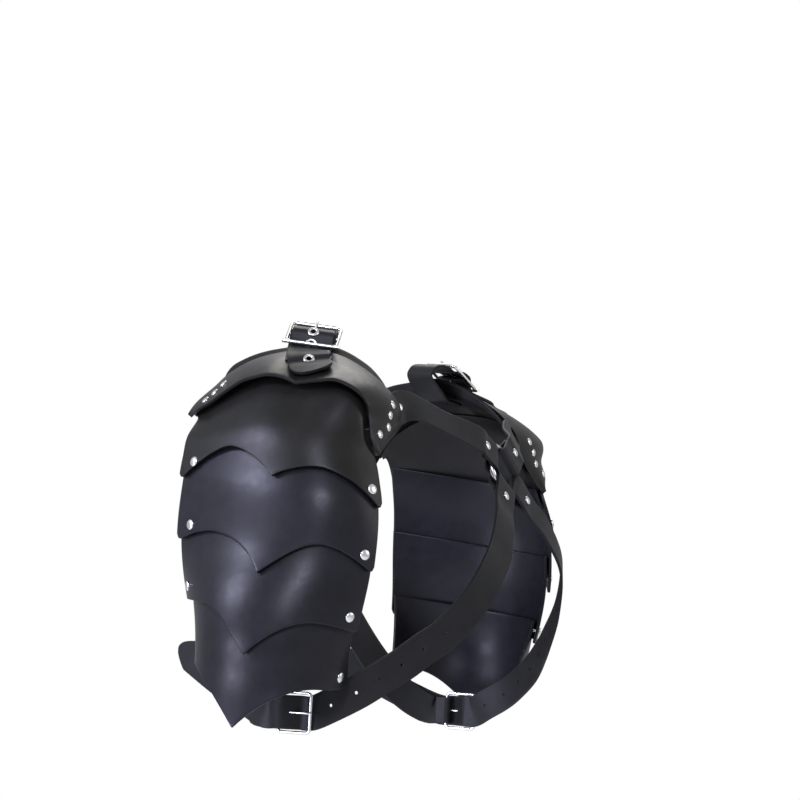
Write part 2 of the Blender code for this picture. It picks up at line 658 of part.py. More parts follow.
def rib_straps():
    """The strap from the chest ring round the ribs, its side buckle and the strap from the back ring."""
    way = Vector((0.02, 0.995, 0.06)).normalized()
    face = (Vector((1, 0, 0)) - way * way.x).normalized()
    cross = way.cross(face)
    half = BUCKLE_LENGTH / 2
    centre = SIDE_BUCKLE_PLACE

    def spot(along, level):
        return centre + way * along + face * level

    frame = buckle_frame("side_buckle", centre, way, face, -half, half, (), STRAP_WIDTH + 5 * CLEARANCE, False)
    hinge = spot(half, 0)
    rest = spot(-half - 0.001, BUCKLE_WIRE + CLEARANCE + PRONG_RADIUS)
    pin = prong("side_prong", hinge, rest, face)

    under = -(BUCKLE_WIRE + CLEARANCE + STRAP_THICKNESS / 2)
    over = BUCKLE_WIRE + 2 * CLEARANCE + STRAP_THICKNESS * 1.5
    loop = ring_loop(CHEST_RING_PLACE, CHEST_RING_FACE, LOWER_LOOP_ANGLE)[::-1]
    run = spread([loop[-1]] + [chest_spot(row) for row in UNDER_ARM_ROUTE] + [(spot(-half, under), face)], 20)
    weave = [(spot(-0.35 * half, under * 0.8), face), (spot(0.0, -under * 0.25), face),
             (spot(0.5 * half, over * 0.8), face), (spot(half, over), face),
             (spot(half + 0.010, over * 1.05), face)]
    tail = spread([(spot(half + 0.010, over * 1.05), face)] + [chest_spot(row) for row in TAIL_ROUTE], 8)[1:]
    stations = loop[:-1] + run + weave + tail
    widths = [LOOP_WIDTH] * (len(loop) + 1) + [STRAP_WIDTH] * (len(stations) - len(loop) - 2)
    widths.append(STRAP_WIDTH * 0.12)
    widths[-2] = STRAP_WIDTH * 0.96
    strap = ribbon("under_arm_strap", stations, widths, STRAP_THICKNESS, LEATHER)
    boolean(strap, prong_punch("side_prong_punch", hinge, rest, face), "DIFFERENCE")
    holes, travelled = [], 0.0
    for (first, look), (second, _) in zip(run[-2::-1], run[-1:0:-1]):
        travelled += (second - first).length
        if len(holes) < 6 and travelled > HOLE_PITCH * (len(holes) + 1.0):
            holes.append((first, look))
    boolean(strap, punch("under_arm_punch", holes, HOLE_RADIUS), "DIFFERENCE")

    back_loop = ring_loop(BACK_RING_PLACE, BACK_RING_FACE, LOWER_LOOP_ANGLE)[::-1]
    fold = bar_loop(hinge, way, face, BUCKLE_WIRE, STRAP_THICKNESS)
    inner = -(BUCKLE_WIRE + CLEARANCE + STRAP_THICKNESS / 2)
    route = [chest_spot(row) for row in LOWER_BACK_ROUTE]
    run = spread([back_loop[-1]] + route + [(spot(half + 0.020, -0.0024), face)], 14)
    closing = [(spot(half + 0.010, inner), -face)]
    stations = back_loop[:-1] + run + [(spot(half + 0.009, -inner * 0.6), face)] + fold + closing
    widths = [LOOP_WIDTH] * (len(back_loop) + 1) + [STRAP_WIDTH] * (len(run) - 3) + [LOOP_WIDTH] * 8
    lower = ribbon("lower_back_strap", stations, widths, STRAP_THICKNESS, LEATHER)
    boolean(lower, slot("side_prong_slot", hinge - way * 0.002, way, cross, face, 0.016,
                        2 * PRONG_RADIUS + 3 * CLEARANCE, 0.016), "DIFFERENCE")
    return [frame, pin, strap, lower]


for scene_object in list(bpy.data.objects):
    bpy.data.objects.remove(scene_object)
HARNESS = bpy.data.collections.new("shoulder_harness")
CUTTERS = bpy.data.collections.new("cutters")
bpy.context.scene.collection.children.link(HARNESS)
bpy.context.scene.collection.children.link(CUTTERS)

PLATE_LEATHER = material("plate leather", (0.040, 0.040, 0.046), 0.42, 0.0)
LEATHER = material("strap leather", (0.022, 0.022, 0.023), 0.5, 0.0)
NICKEL = material("nickel", (0.78, 0.77, 0.74), 0.22, 1.0)

make_rings()
LEFT_PIECES = make_cap_and_yoke() + make_lames() + main_straps() + shoulder_buckle() + rib_straps()
for left_piece in LEFT_PIECES:
    mirrored(left_piece, left_piece.name + "_right")
    left_piece.name += "_left"
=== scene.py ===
# %% [markdown]
# A leather shoulder harness, dressed for its photograph.
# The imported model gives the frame: every strap, plate, ring and buckle already has its place. This lesson models each
# of them again with the thickness, rounded edges, folds and fittings of real leatherwork, and then finishes them.
# Units are metres. +X is the wearer's left, -Y the wearer's front and +Z up.

# %% Load the frame
import math

import bpy
from mathutils import Matrix, Vector


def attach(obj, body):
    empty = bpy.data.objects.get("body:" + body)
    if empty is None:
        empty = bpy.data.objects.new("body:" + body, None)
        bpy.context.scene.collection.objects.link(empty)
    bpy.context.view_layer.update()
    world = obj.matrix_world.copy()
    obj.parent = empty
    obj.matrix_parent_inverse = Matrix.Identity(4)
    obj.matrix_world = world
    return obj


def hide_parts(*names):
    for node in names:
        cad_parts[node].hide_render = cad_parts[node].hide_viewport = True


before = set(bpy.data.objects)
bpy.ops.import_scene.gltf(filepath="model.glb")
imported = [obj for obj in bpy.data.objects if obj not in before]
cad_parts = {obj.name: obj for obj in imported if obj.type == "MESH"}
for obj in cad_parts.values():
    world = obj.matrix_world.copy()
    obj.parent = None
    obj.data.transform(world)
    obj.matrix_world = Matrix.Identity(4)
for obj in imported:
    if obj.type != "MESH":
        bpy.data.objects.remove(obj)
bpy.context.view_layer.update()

# %% [markdown]
# The photograph is taken from the wearer's right, a little to the front and a little below the shoulder, from about
# two metres away. A long lens at that distance keeps the far shoulder nearly as large as the near one. The camera
# could be shifted to hold the uprights parallel, but a small upward pitch gives the same framing more simply.

# %% Camera
CAMERA_PLACE = (-1.8835, -0.9566, -0.3163)
CAMERA_YAW = math.radians(26.354)
CAMERA_PITCH = math.radians(7.886)
camera_data = bpy.data.cameras.new("camera")
camera_data.lens = 98.58
camera_data.sensor_width = 36
camera = bpy.data.objects.new("camera", camera_data)
camera.location = CAMERA_PLACE
camera.rotation_euler = (math.pi / 2 + CAMERA_PITCH, 0, CAMERA_YAW - math.pi / 2)
bpy.context.scene.collection.objects.link(camera)
bpy.context.scene.camera = camera
print("camera", round(camera_data.lens, 1), "mm lens")

# %% [markdown]
# A product photographer lights black leather with large soft boxes, because black shows only what it reflects. A
# reflection leaves a surface as steeply as it arrives, so each pale streak of the photograph tells where its box
# stands. Two boxes beyond the back of the near arm, a high one and a low one, draw the long streak down the plates.
# One on the camera's side draws the second streak, and one high beyond the far shoulder gives the caps a satin top.

# %% Lights
def area_light(name, place, target, size, power, tint=(1.0, 1.0, 1.0)):
    light = bpy.data.lights.new(name, "AREA")
    light.shape = "RECTANGLE"
    light.size, light.size_y = size
    light.energy = power
    light.color = tint
    lamp = bpy.data.objects.new(name, light)
    lamp.location = place
    lamp.rotation_euler = (Vector(target) - Vector(place)).to_track_quat("-Z", "Y").to_euler()
    bpy.context.scene.collection.objects.link(lamp)


NEAR_PLATES = (-0.24, 0.02, -0.22)
area_light("streak box", (-1.79, 1.62, 1.12), NEAR_PLATES, (0.75, 0.6), 42, (0.72, 0.74, 1.0))
area_light("low streak box", (-2.38, 1.47, -0.49), NEAR_PLATES, (0.9, 0.7), 34, (0.74, 0.76, 1.0))
area_light("camera side box", (-2.97, -1.27, 1.25), (-0.24, 0.0, -0.22), (0.5, 0.7), 46, (0.78, 0.79, 1.0))
area_light("top box", (1.47, 0.54, 1.74), (-0.18, 0.0, 0.0), (1.4, 1.2), 17, (1.0, 0.97, 0.93))
area_light("front box", (0.6, -2.6, 0.7), (0.0, 0.0, -0.1), (1.2, 1.6), 14)

# %% [markdown]
# The floor is a plain pale plane at the level of a wearer's feet, well below the picture. The room behind is white,
# but it lights the leather less than it shows, as when black flags stand just out of view. A Light Path node makes
# that difference: the camera sees one background and the leather is lit by another.

# %% Floor and room
FLOOR_LEVEL = -1.42
bpy.ops.object.select_all(action="DESELECT")
bpy.ops.mesh.primitive_plane_add(size=16, location=(0, 0, FLOOR_LEVEL))
floor = bpy.context.object
floor.name = "floor"
floor_paint = bpy.data.materials.new("floor paint")
floor_paint.use_nodes = True
floor_shader = floor_paint.node_tree.nodes["Principled BSDF"]
floor_shader.inputs["Base Color"].default_value = (0.86, 0.86, 0.86, 1)
floor_shader.inputs["Roughness"].default_value = 0.9
floor.data.materials.append(floor_paint)

world = bpy.data.worlds.new("studio")
world.use_nodes = True
bpy.context.scene.world = world
room = world.node_tree
backdrop = room.nodes["Background"]
backdrop.inputs["Color"].default_value = (1.0, 1.0, 1.0, 1)
backdrop.inputs["Strength"].default_value = 1.0
flagged = room.nodes.new("ShaderNodeBackground")
flagged.inputs["Color"].default_value = (0.95, 0.96, 1.0, 1)
flagged.inputs["Strength"].default_value = 0.48
choice = room.nodes.new("ShaderNodeMixShader")
room.links.new(room.nodes.new("ShaderNodeLightPath").outputs["Is Camera Ray"], choice.inputs[0])
room.links.new(flagged.outputs[0], choice.inputs[1])
room.links.new(backdrop.outputs[0], choice.inputs[2])
room.links.new(choice.outputs[0], room.nodes["World Output"].inputs["Surface"])
bpy.context.scene.view_settings.view_transform = "Standard"
print("floor", FLOOR_LEVEL, "m, room", backdrop.inputs["Strength"].default_value)

# %% [markdown]
# Every finish here is a tree of shader nodes. Two small helpers keep the trees readable: one adds a node with its
# settings, and the other turns a value from a pattern into a colour by way of a colour ramp.

# %% Finishing helpers
def add_node(tree, kind, **settings):
    node = tree.nodes.new(kind)
    for key, value in settings.items():
        if key in node.inputs:
            node.inputs[key].default_value = value
        else:
            setattr(node, key, value)
    return node


def ramp(tree, source, stops):
    """A colour ramp on a value, from stops of (place, colour)."""
    node = tree.nodes.new("ShaderNodeValToRGB")
    while len(node.color_ramp.elements) < len(stops):
        node.color_ramp.elements.new(0.5)
    for element, (place, colour) in zip(node.color_ramp.elements, stops):
        element.position = place
        element.color = (*colour, 1.0)
    tree.links.new(source, node.inputs["Fac"])
    return node.outputs["Color"]


print("finishing helpers", add_node.__name__, ramp.__name__)

# %% [markdown]
# Vegetable-tanned leather that is dyed black keeps a fine grain, a slightly uneven dye and a waxed, satin surface. Its
# cut edges are burnished nearly black. Just inside them the rounded rim would catch a thin line of light, and that line
# is painted into the base colour as a painted highlight. One recipe makes all the leathers: grain and dye come from
# noise on Object coordinates, and the burnished edge and the painted rim highlight from an attribute that each piece
# carries, the distance in millimetres to its nearest cut edge.

# %% Leather finish
RIM_REACH = 10.0


def leather(name, dark, light, rough, coat):
    finish = bpy.data.materials.new(name)
    finish.use_nodes = True
    tree = finish.node_tree
    shader = tree.nodes["Principled BSDF"]
    place = add_node(tree, "ShaderNodeTexCoord").outputs["Object"]

    dye = add_node(tree, "ShaderNodeTexNoise", Scale=38.0, Detail=5.0, Roughness=0.6)
    tree.links.new(place, dye.inputs["Vector"])
    dyed = ramp(tree, dye.outputs["Fac"], [(0.3, dark), (0.75, light)])

    distance = add_node(tree, "ShaderNodeAttribute", attribute_name="rim").outputs["Fac"]
    scaled = add_node(tree, "ShaderNodeMath", operation="DIVIDE")
    scaled.inputs[1].default_value = RIM_REACH
    tree.links.new(distance, scaled.inputs[0])
    # Dark at the burnished cut edge, which is the leather's own colour, then a painted highlight about half a
    # millimetre in, where the rounded rim would catch a thin line of light.
    burnish_and_highlight_stops = ((0.00, 0.30), (0.02, 0.45), (0.05, 1.6), (0.10, 1.3), (0.18, 0.9), (0.35, 1.0))
    burnish_and_rim_highlight = ramp(tree, scaled.outputs[0], [(reach, (tone, tone, tone)) for reach, tone in burnish_and_highlight_stops])
    burnished_and_highlighted = add_node(tree, "ShaderNodeMix", data_type="RGBA", blend_type="MULTIPLY")
    burnished_and_highlighted.inputs[0].default_value = 1.0
    tree.links.new(dyed, burnished_and_highlighted.inputs[6])
    tree.links.new(burnish_and_rim_highlight, burnished_and_highlighted.inputs[7])
    tree.links.new(burnished_and_highlighted.outputs[2], shader.inputs["Base Color"])

    wax = add_node(tree, "ShaderNodeTexNoise", Scale=120.0, Detail=4.0, Roughness=0.65)
    tree.links.new(place, wax.inputs["Vector"])
    polish = add_node(tree, "ShaderNodeMapRange")
    polish.inputs["From Min"].default_value = 0.3
    polish.inputs["From Max"].default_value = 0.7
    polish.inputs["To Min"].default_value = rough - 0.04
    polish.inputs["To Max"].default_value = rough + 0.05
    tree.links.new(wax.outputs["Fac"], polish.inputs["Value"])
    tree.links.new(polish.outputs["Result"], shader.inputs["Roughness"])

    grain = add_node(tree, "ShaderNodeTexVoronoi", Scale=1150.0)
    tree.links.new(place, grain.inputs["Vector"])
    pores = add_node(tree, "ShaderNodeBump", Strength=0.12, Distance=0.00012)
    tree.links.new(grain.outputs["Distance"], pores.inputs["Height"])
    hide = add_node(tree, "ShaderNodeTexNoise", Scale=55.0, Detail=3.0, Roughness=0.55)
    tree.links.new(place, hide.inputs["Vector"])
    body = add_node(tree, "ShaderNodeBump", Strength=0.25, Distance=0.0006)
    tree.links.new(hide.outputs["Fac"], body.inputs["Height"])
    tree.links.new(pores.outputs["Normal"], body.inputs["Normal"])
    tree.links.new(body.outputs["Normal"], shader.inputs["Normal"])

    shader.inputs["IOR"].default_value = 1.5
    shader.inputs["Specular IOR Level"].default_value = 0.24
    shader.inputs["Coat Weight"].default_value = coat
    shader.inputs["Coat Roughness"].default_value = 0.38
    finish.diffuse_color = (*light, 1.0)
    return finish


# The plate leather is the same black leather as the cap's with a bluish tint. The tint is painted light that stands in
# for the bluish streak light on lames 2 to 4.
BLUE_TINTED_PLATE_LEATHER = leather("plate leather", (0.008, 0.008, 0.011), (0.014, 0.014, 0.019), 0.35, 0.06)
CAP_LEATHER = leather("cap leather", (0.008, 0.008, 0.007), (0.014, 0.0135, 0.012), 0.38, 0.05)
STRAP_LEATHER = leather("strap leather", (0.008, 0.008, 0.009), (0.014, 0.014, 0.015), 0.48, 0.04)
print("leathers", BLUE_TINTED_PLATE_LEATHER.name, CAP_LEATHER.name, STRAP_LEATHER.name)

# %% [markdown]
# Harness hardware is steel with bright nickel plate. It is nearly a mirror, softened by tumbling and faint handling
# marks, so a small uneven roughness and very fine scratches are all that it needs.

# %% Nickel finish
NICKEL = bpy.data.materials.new("bright nickel")
NICKEL.use_nodes = True
nickel_tree = NICKEL.node_tree
nickel_shader = nickel_tree.nodes["Principled BSDF"]
nickel_shader.inputs["Metallic"].default_value = 1.0
nickel_place = add_node(nickel_tree, "ShaderNodeTexCoord").outputs["Object"]
tumbling = add_node(nickel_tree, "ShaderNodeTexNoise", Scale=260.0, Detail=4.0, Roughness=0.6)
nickel_tree.links.new(nickel_place, tumbling.inputs["Vector"])
plating = ramp(nickel_tree, tumbling.outputs["Fac"], [(0.3, (0.84, 0.83, 0.80)), (0.7, (0.95, 0.94, 0.92))])
nickel_tree.links.new(plating, nickel_shader.inputs["Base Color"])
handling = add_node(nickel_tree, "ShaderNodeMapRange")
handling.inputs["To Min"].default_value = 0.20
handling.inputs["To Max"].default_value = 0.32
nickel_tree.links.new(tumbling.outputs["Fac"], handling.inputs["Value"])
nickel_tree.links.new(handling.outputs["Result"], nickel_shader.inputs["Roughness"])
scratches = add_node(nickel_tree, "ShaderNodeBump", Strength=0.12, Distance=0.00005)
nickel_tree.links.new(tumbling.outputs["Fac"], scratches.inputs["Height"])
nickel_tree.links.new(scratches.outputs["Normal"], nickel_shader.inputs["Normal"])
print("metal", NICKEL.name)

# %% [markdown]
# Everything follows from three helpers. The first draws a smooth curve through the rows of a table, as a bent spline
# does in a drawing office. The second applies a modifier at once. The third cuts a flat hide: a grid is added, each of
# its points is laid on the piece's own surface, and the sheet then gets its thickness and its rounded edges.

# %% Leatherworker's helpers
MM = 0.001


def smooth_through(rows, place, corner=None):
    """The curve through a table's rows, at a place counted in rows. It may turn sharply at a corner row."""
    last = len(rows) - 1
    start = min(max(int(math.floor(place)), 0), last - 1)
    low, high = (0, last) if corner is None else ((0, corner) if start < corner else (corner, last))
    share = place - start
    before, first, second, after = (rows[min(max(start + step, low), high)] for step in (-1, 0, 1, 2))
    values = []
    for a, b, c, d in zip(before, first, second, after):
        slope_in, slope_out = (c - a) / 2, (d - b) / 2
        values.append(b + slope_in * share + (3 * (c - b) - 2 * slope_in - slope_out) * share**2
                      + (2 * (b - c) + slope_in + slope_out) * share**3)
    return values


def apply_modifier(piece, kind, **settings):
    bpy.context.view_layer.objects.active = piece
    change = piece.modifiers.new(kind.lower(), kind)
    for key, value in settings.items():
        setattr(change, key, value)
    bpy.ops.object.modifier_apply(modifier=change.name)


def cut_leather(name, spot, columns, rows, thickness, edge_round=0.0006):
    """A hide laid on spot(along, across), which gives a point and its distance to the cut edge in mm."""
    bpy.ops.object.select_all(action="DESELECT")
    bpy.ops.mesh.primitive_grid_add(x_subdivisions=columns, y_subdivisions=rows, size=1)
    hide = bpy.context.object
    hide.name = hide.data.name = name
    rim = hide.data.attributes.new("rim", "FLOAT", "POINT")
    for vert in hide.data.vertices:
        point, edge = spot(vert.co.x + 0.5, vert.co.y + 0.5)
        rim.data[vert.index].value = edge
        vert.co = point
    apply_modifier(hide, "SOLIDIFY", thickness=thickness, offset=0.0)
    if edge_round:
        apply_modifier(hide, "BEVEL", width=edge_round, segments=2, limit_method="ANGLE",
                       angle_limit=math.radians(50))
    bpy.ops.object.shade_smooth_by_angle(angle=math.radians(40))
    return hide


def finish_piece(piece, finish, slot, node=None):
    """Gives a piece its material and its body, and hides the CAD node that it stands for."""
    piece.data.materials.clear()
    piece.data.materials.append(finish)
    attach(piece, "root")
    if node:
        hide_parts(node)
    return piece


print("leatherworker's helpers", cut_leather.__name__, finish_piece.__name__)

# %% [markdown]
# The four lames of each pauldron wrap the upper arm like roof tiles. A smith would bend them over one form, so they
# are laid on one surface here too: a sleeve whose ribs are curves in plan from the front edge to the back edge. It is
# narrow over the shoulder, widest at the second plate and closes in again towards the elbow.

# %% Sleeve surface
LEATHER_THICKNESS = 0.0028
FRONT_HANG = 0.185
# Fall from the shoulder's level, then for the front end x, y, turn and pull, then the same for the back end.
# Millimetres and degrees: a turn is the way that the end faces, and a pull its handle's share of the chord.
SLEEVE_RIBS = (
    (80, 190, -93, 66, 0.32, 205, 88, -24, 0.58),
    (128, 195, -102, 70, 0.32, 215, 90, -23, 0.60),
    (188, 198, -95.5, 63, 0.36, 215, 92, -28, 0.56),
    (240, 195, -79, 80, 0.48, 203, 87, -62, 0.56),
    (292, 176, -58, 102, 0.74, 182, 76, -92, 0.76),
    (340, 176, -56, 102, 0.74, 182, 76, -92, 0.76),
)


def sleeve(along, fall, lift):
    """A point of the sleeve, and the length of its rib, for a fall and a lift in millimetres."""
    falls = [row[0] for row in SLEEVE_RIBS]
    upper = max(k for k in range(len(falls) - 1) if falls[k] <= max(fall, falls[0]))
    share = (fall - falls[upper]) / (falls[upper + 1] - falls[upper])
    rib = smooth_through(SLEEVE_RIBS, upper + share)
    front, back = Vector(rib[1:3]), Vector(rib[5:7])
    chord = (back - front).length
    front_turn, back_turn = math.radians(rib[3]), math.radians(rib[7])
    out = front + Vector((math.sin(front_turn), math.cos(front_turn))) * rib[4] * chord
    home = back - Vector((math.sin(back_turn), math.cos(back_turn))) * rib[8] * chord
    rest = 1 - along
    spot = rest**3 * front + 3 * rest**2 * along * out + 3 * rest * along**2 * home + along**3 * back
    slope = rest**2 * (out - front) + 2 * rest * along * (home - out) + along**2 * (back - home)
    slope.normalize()
    spot = spot + Vector((slope.y, -slope.x)) * lift
    return Vector((spot.x, spot.y, FRONT_HANG * spot.y - fall)) * MM


print("widest rib reaches", round(max(sleeve(k / 20, 188, 0).x for k in range(21)) * 1000), "mm")

# %% [markdown]
# The cap arches over the top of the shoulder. Its inner edge runs from the front tab over the crest to the back tab,
# and its outer edge dips to a small point above the arm. It is laid between those two edges, row by row, with a little
# crown across its width, as wet-formed leather keeps.

# %% Cap surface
# Inner edge x, y, z and outer edge x, y, z in millimetres, from the front tip over the shoulder to the back tip.
CAP_ROWS = (
    (186, -93, -100.5, 190, -92.5, -102.5), (160, -91, -86, 196, -92, -86), (139, -90, -69, 193, -89, -70),
    (133, -88, -51, 199, -89, -56), (136, -74, -32.6, 207, -82, -45), (138, -56, -17, 213, -66, -36.5),
    (140, -33, -3.6, 216, -48, -36.6), (140, -7, 4.5, 217, -29, -37.6), (140, 8, 5.5, 217, -15, -31),
    (140, 22.6, 4.6, 216, 0, -28), (141, 44, 2, 214.5, 15, -29), (143, 61.6, -3, 213, 30, -32),
    (146, 78.5, -12, 209, 50, -40.5), (150, 88, -22, 205, 66, -48), (165, 98.6, -39.6, 200, 82, -53),
    (191.2, 93.2, -56.8, 192.6, 92.3, -57.4),
)
LAST_ROW = len(CAP_ROWS) - 1
ROW_PITCH = 16
CAP_CROWN = 3.5
CAP_POINT_ROW = 7


def cap_edges(row):
    inner = Vector(smooth_through([cells[:3] for cells in CAP_ROWS], row))
    outer = Vector(smooth_through([cells[3:] for cells in CAP_ROWS], row, CAP_POINT_ROW))
    return inner, outer


def cap(row, across, lift=0.0):
    """A point of the cap: across runs from the inner edge (0) to the outer edge (1), lift is in mm."""
    inner, outer = cap_edges(row)
    ahead, behind = cap_edges(min(row + 0.5, LAST_ROW)), cap_edges(max(row - 0.5, 0))
    along = (ahead[0] + ahead[1] - behind[0] - behind[1]).normalized()
    face = (outer - inner).cross(along).normalized()
    crown = 4 * across * (1 - across) * CAP_CROWN if 0 < across < 1 else 0.0
    return (inner + (outer - inner) * across + face * (crown + lift)) * MM


def cap_face(row, across, reach=0.8):
    along = cap(min(row + reach, LAST_ROW), across) - cap(max(row - reach, 0), across)
    over = cap(row, across + 0.02) - cap(row, across - 0.02)
    return over.cross(along).normalized()


def cap_spot(along, across):
    row = along * LAST_ROW
    inner, outer = cap_edges(row)
    width = (outer - inner).length
    end = min(along, 1 - along) * LAST_ROW * ROW_PITCH
    return cap(row, across), min(across * width, (1 - across) * width, end)


cap_left = cut_leather("shoulder_cap_made_left", cap_spot, 150, 30, LEATHER_THICKNESS)
print("cap", [round(side * 1000) for side in cap_left.dimensions], "mm")

# %% [markdown]
# Under the cap's inner edge lies the yoke, the strap over the inner shoulder that carries the whole pauldron. It is
# cut from the same rows, one layer lower, and reaches past the cap towards the neck, where it curls up a little, so
# that a narrow band of it shows above the cap's edge.

# %% Yoke
YOKE_ROWS = (3.6, 13.2)
YOKE_NECK, YOKE_HIDDEN = -0.19, 0.333
CURL_FRONT, CURL_BACK = 4.5, 7.5
LAYER = 3.2


def yoke_spot(along, across):
    row = YOKE_ROWS[0] + (YOKE_ROWS[1] - YOKE_ROWS[0]) * along
    inner, outer = cap_edges(row)
    neck = YOKE_NECK * min(math.sin(math.pi * along) * 2.2, 1.0) ** 0.5 if 0 < along < 1 else 0.0
    width = (outer - inner).length * (YOKE_HIDDEN - neck)
    place = neck + (YOKE_HIDDEN - neck) * across
    backward = min(max((row - 9.0) / 3.5, 0.0), 1.0)
    rise = (CURL_FRONT + (CURL_BACK - CURL_FRONT) * backward) * max(place / YOKE_NECK, 0.0)
    edge = min(across * width, (1 - across) * width)
    return cap(row, place, -LAYER - 0.8 + rise), edge


yoke_left = cut_leather("shoulder_yoke_made_left", yoke_spot, 90, 16, LEATHER_THICKNESS)
print("yoke", [round(side * 1000) for side in yoke_left.dimensions], "mm")

# %% [markdown]
# Each lame ends below in a bat-wing edge: a point in the middle, a hollow on each side and two hanging corners, which
# are rounded. Every lame lies a little outside the next one at its lower edge and tucks inside the one above at its
# top, so the stack reads as separate layers. The first one comes out from under the cap in a smooth curve.

# %% Lames
# Top fall, front corner, front hollow and its place, point and its place, back hollow and its place, back corner.
LAME_EDGES = (
    (80, 133.0, 101.8, 0.335, 117.5, 0.586, 96.1, 0.780, 135.5),
    (82, 189.0, 170.0, 0.280, 203.5, 0.540, 174.5, 0.825, 189.5),
    (150, 242.0, 238.0, 0.200, 274.5, 0.482, 238.0, 0.760, 239.5),
    (218, 291.0, 295.0, 0.170, 338.5, 0.522, 293.0, 0.850, 290.5),
)
CORNER_ROUND = 7.0
LAP = 8.0
RIB_LENGTH = 250.0
POINT_SWEEP, CORNER_SWEEP = 2.0, 1.7


def lower_edge(lame, along):
    _, front_corner, front, front_place, point, point_place, back, back_place, back_corner = LAME_EDGES[lame]
    if along < point_place:
        hollow, hollow_place, corner, corner_place = front, front_place, front_corner, 0.0
    else:
        hollow, hollow_place, corner, corner_place = back, back_place, back_corner, 1.0
    from_point = abs(along - point_place) / abs(hollow_place - point_place)
    if from_point < 1:
        fall = hollow + (point - hollow) * (1 - from_point) ** POINT_SWEEP
    else:
        from_hollow = abs(along - hollow_place) / abs(corner_place - hollow_place)
        fall = hollow + (corner - hollow) * from_hollow**CORNER_SWEEP
    from_side = min(along, 1 - along) * RIB_LENGTH
    if from_side < CORNER_ROUND:
        fall -= CORNER_ROUND - math.sqrt(CORNER_ROUND**2 - (CORNER_ROUND - from_side) ** 2)
    return fall


def tuck(lame, fall):
    """How far a lame lies inside the sleeve, in millimetres."""
    top, corner = LAME_EDGES[lame][0], (LAME_EDGES[lame][1] + LAME_EDGES[lame][8]) / 2
    depth = LAP * (0.25 if lame == 0 else 1.0)
    return max(depth * ((fall - top) / (corner - top) - 1), -1.2 * depth)


print("lowest points", [row[4] for row in LAME_EDGES], "mm below the shoulder")

# %% [markdown]
# The first lame can't simply follow the sleeve to its top, because it has to pass behind the cap's edge. Its upper
# part is a smooth curve through points that are worked out from the cap, and lower down it joins the sleeve.

# %% First lame under the cap
FIRST_ROW, FINAL_ROW = 1.4, 14.7
JOIN_FALL = 112.0


def brow_at(along):
    """Where the first lame ends beneath the cap, and where it passes behind the cap's edge."""
    row = FIRST_ROW + (FINAL_ROW - FIRST_ROW) * along
    inward = 9.0 * math.sin(math.pi * min(max(along, 0.0), 1.0))
    upper, brow = Vector(), Vector()
    for step in (-1.2, -0.6, 0.0, 0.6, 1.2):
        near = row + step * max(min(row - FIRST_ROW, FINAL_ROW - row, 1.0), 0.0)
        upper += cap(near, 0.55, -LAYER - 1.6) / 5
        brow += (cap(near, 1.0, -LAYER - 3.2) - Vector((inward * MM, 0, 0))) / 5
    return upper, brow


def lame_point(lame, along, down):
    edge = lower_edge(lame, along)
    if lame:
        fall = LAME_EDGES[lame][0] + (edge - LAME_EDGES[lame][0]) * down
        return sleeve(along, fall, tuck(lame, fall))
    upper, brow = brow_at(along)
    top = (FRONT_HANG * brow.y - brow.z) / MM
    knots = [upper, brow] + [sleeve(along, fall, tuck(0, fall))
                             for fall in ((top + JOIN_FALL) / 2, JOIN_FALL, JOIN_FALL + 20)]
    if down < 0.25:
        return Vector(smooth_through(knots, 4 * down))
    fall = top + (edge - top) * (down - 0.25) / 0.75
    if fall > JOIN_FALL:
        return sleeve(along, fall, tuck(0, fall))
    return Vector(smooth_through(knots, 1 + 2 * (fall - top) / (JOIN_FALL - top)))


print("first lame's middle passes the cap's edge at", [round(side * 1000) for side in brow_at(0.5)[1]], "mm")

# %% [markdown]
# Each lame is cut from a hide on these surfaces. The grid's middle column is set on the lame's point, so that the
# point stays sharp.

# %% Four lames
def lame_spot(lame):
    point_place = LAME_EDGES[lame][5]

    def spot(across, down):
        if across < 0.5:
            along = 2 * across * point_place
        else:
            along = point_place + (2 * across - 1) * (1 - point_place)
        place = lame_point(lame, along, down)
        below = (lame_point(lame, along, 1.0) - place).length / MM
        return place, min(below, min(along, 1 - along) * RIB_LENGTH)
    return spot


lames_left = []
for number in range(4):
    lame = cut_leather(f"lame_{number + 1}_made_left", lame_spot(number), 120, 44, LEATHER_THICKNESS)
    lames_left.append(lame)
    print(lame.name, [round(side * 1000) for side in lame.dimensions], "mm")

# %% [markdown]
# Rivets and eyelets are turned parts. Each starts as a circle that is extruded ring by ring, raised and drawn in, the
# way a punch and die form the head. The rivet's dome closes in a small flat, and the eyelet's rim rolls back on itself
# and is bridged into a closed ring.

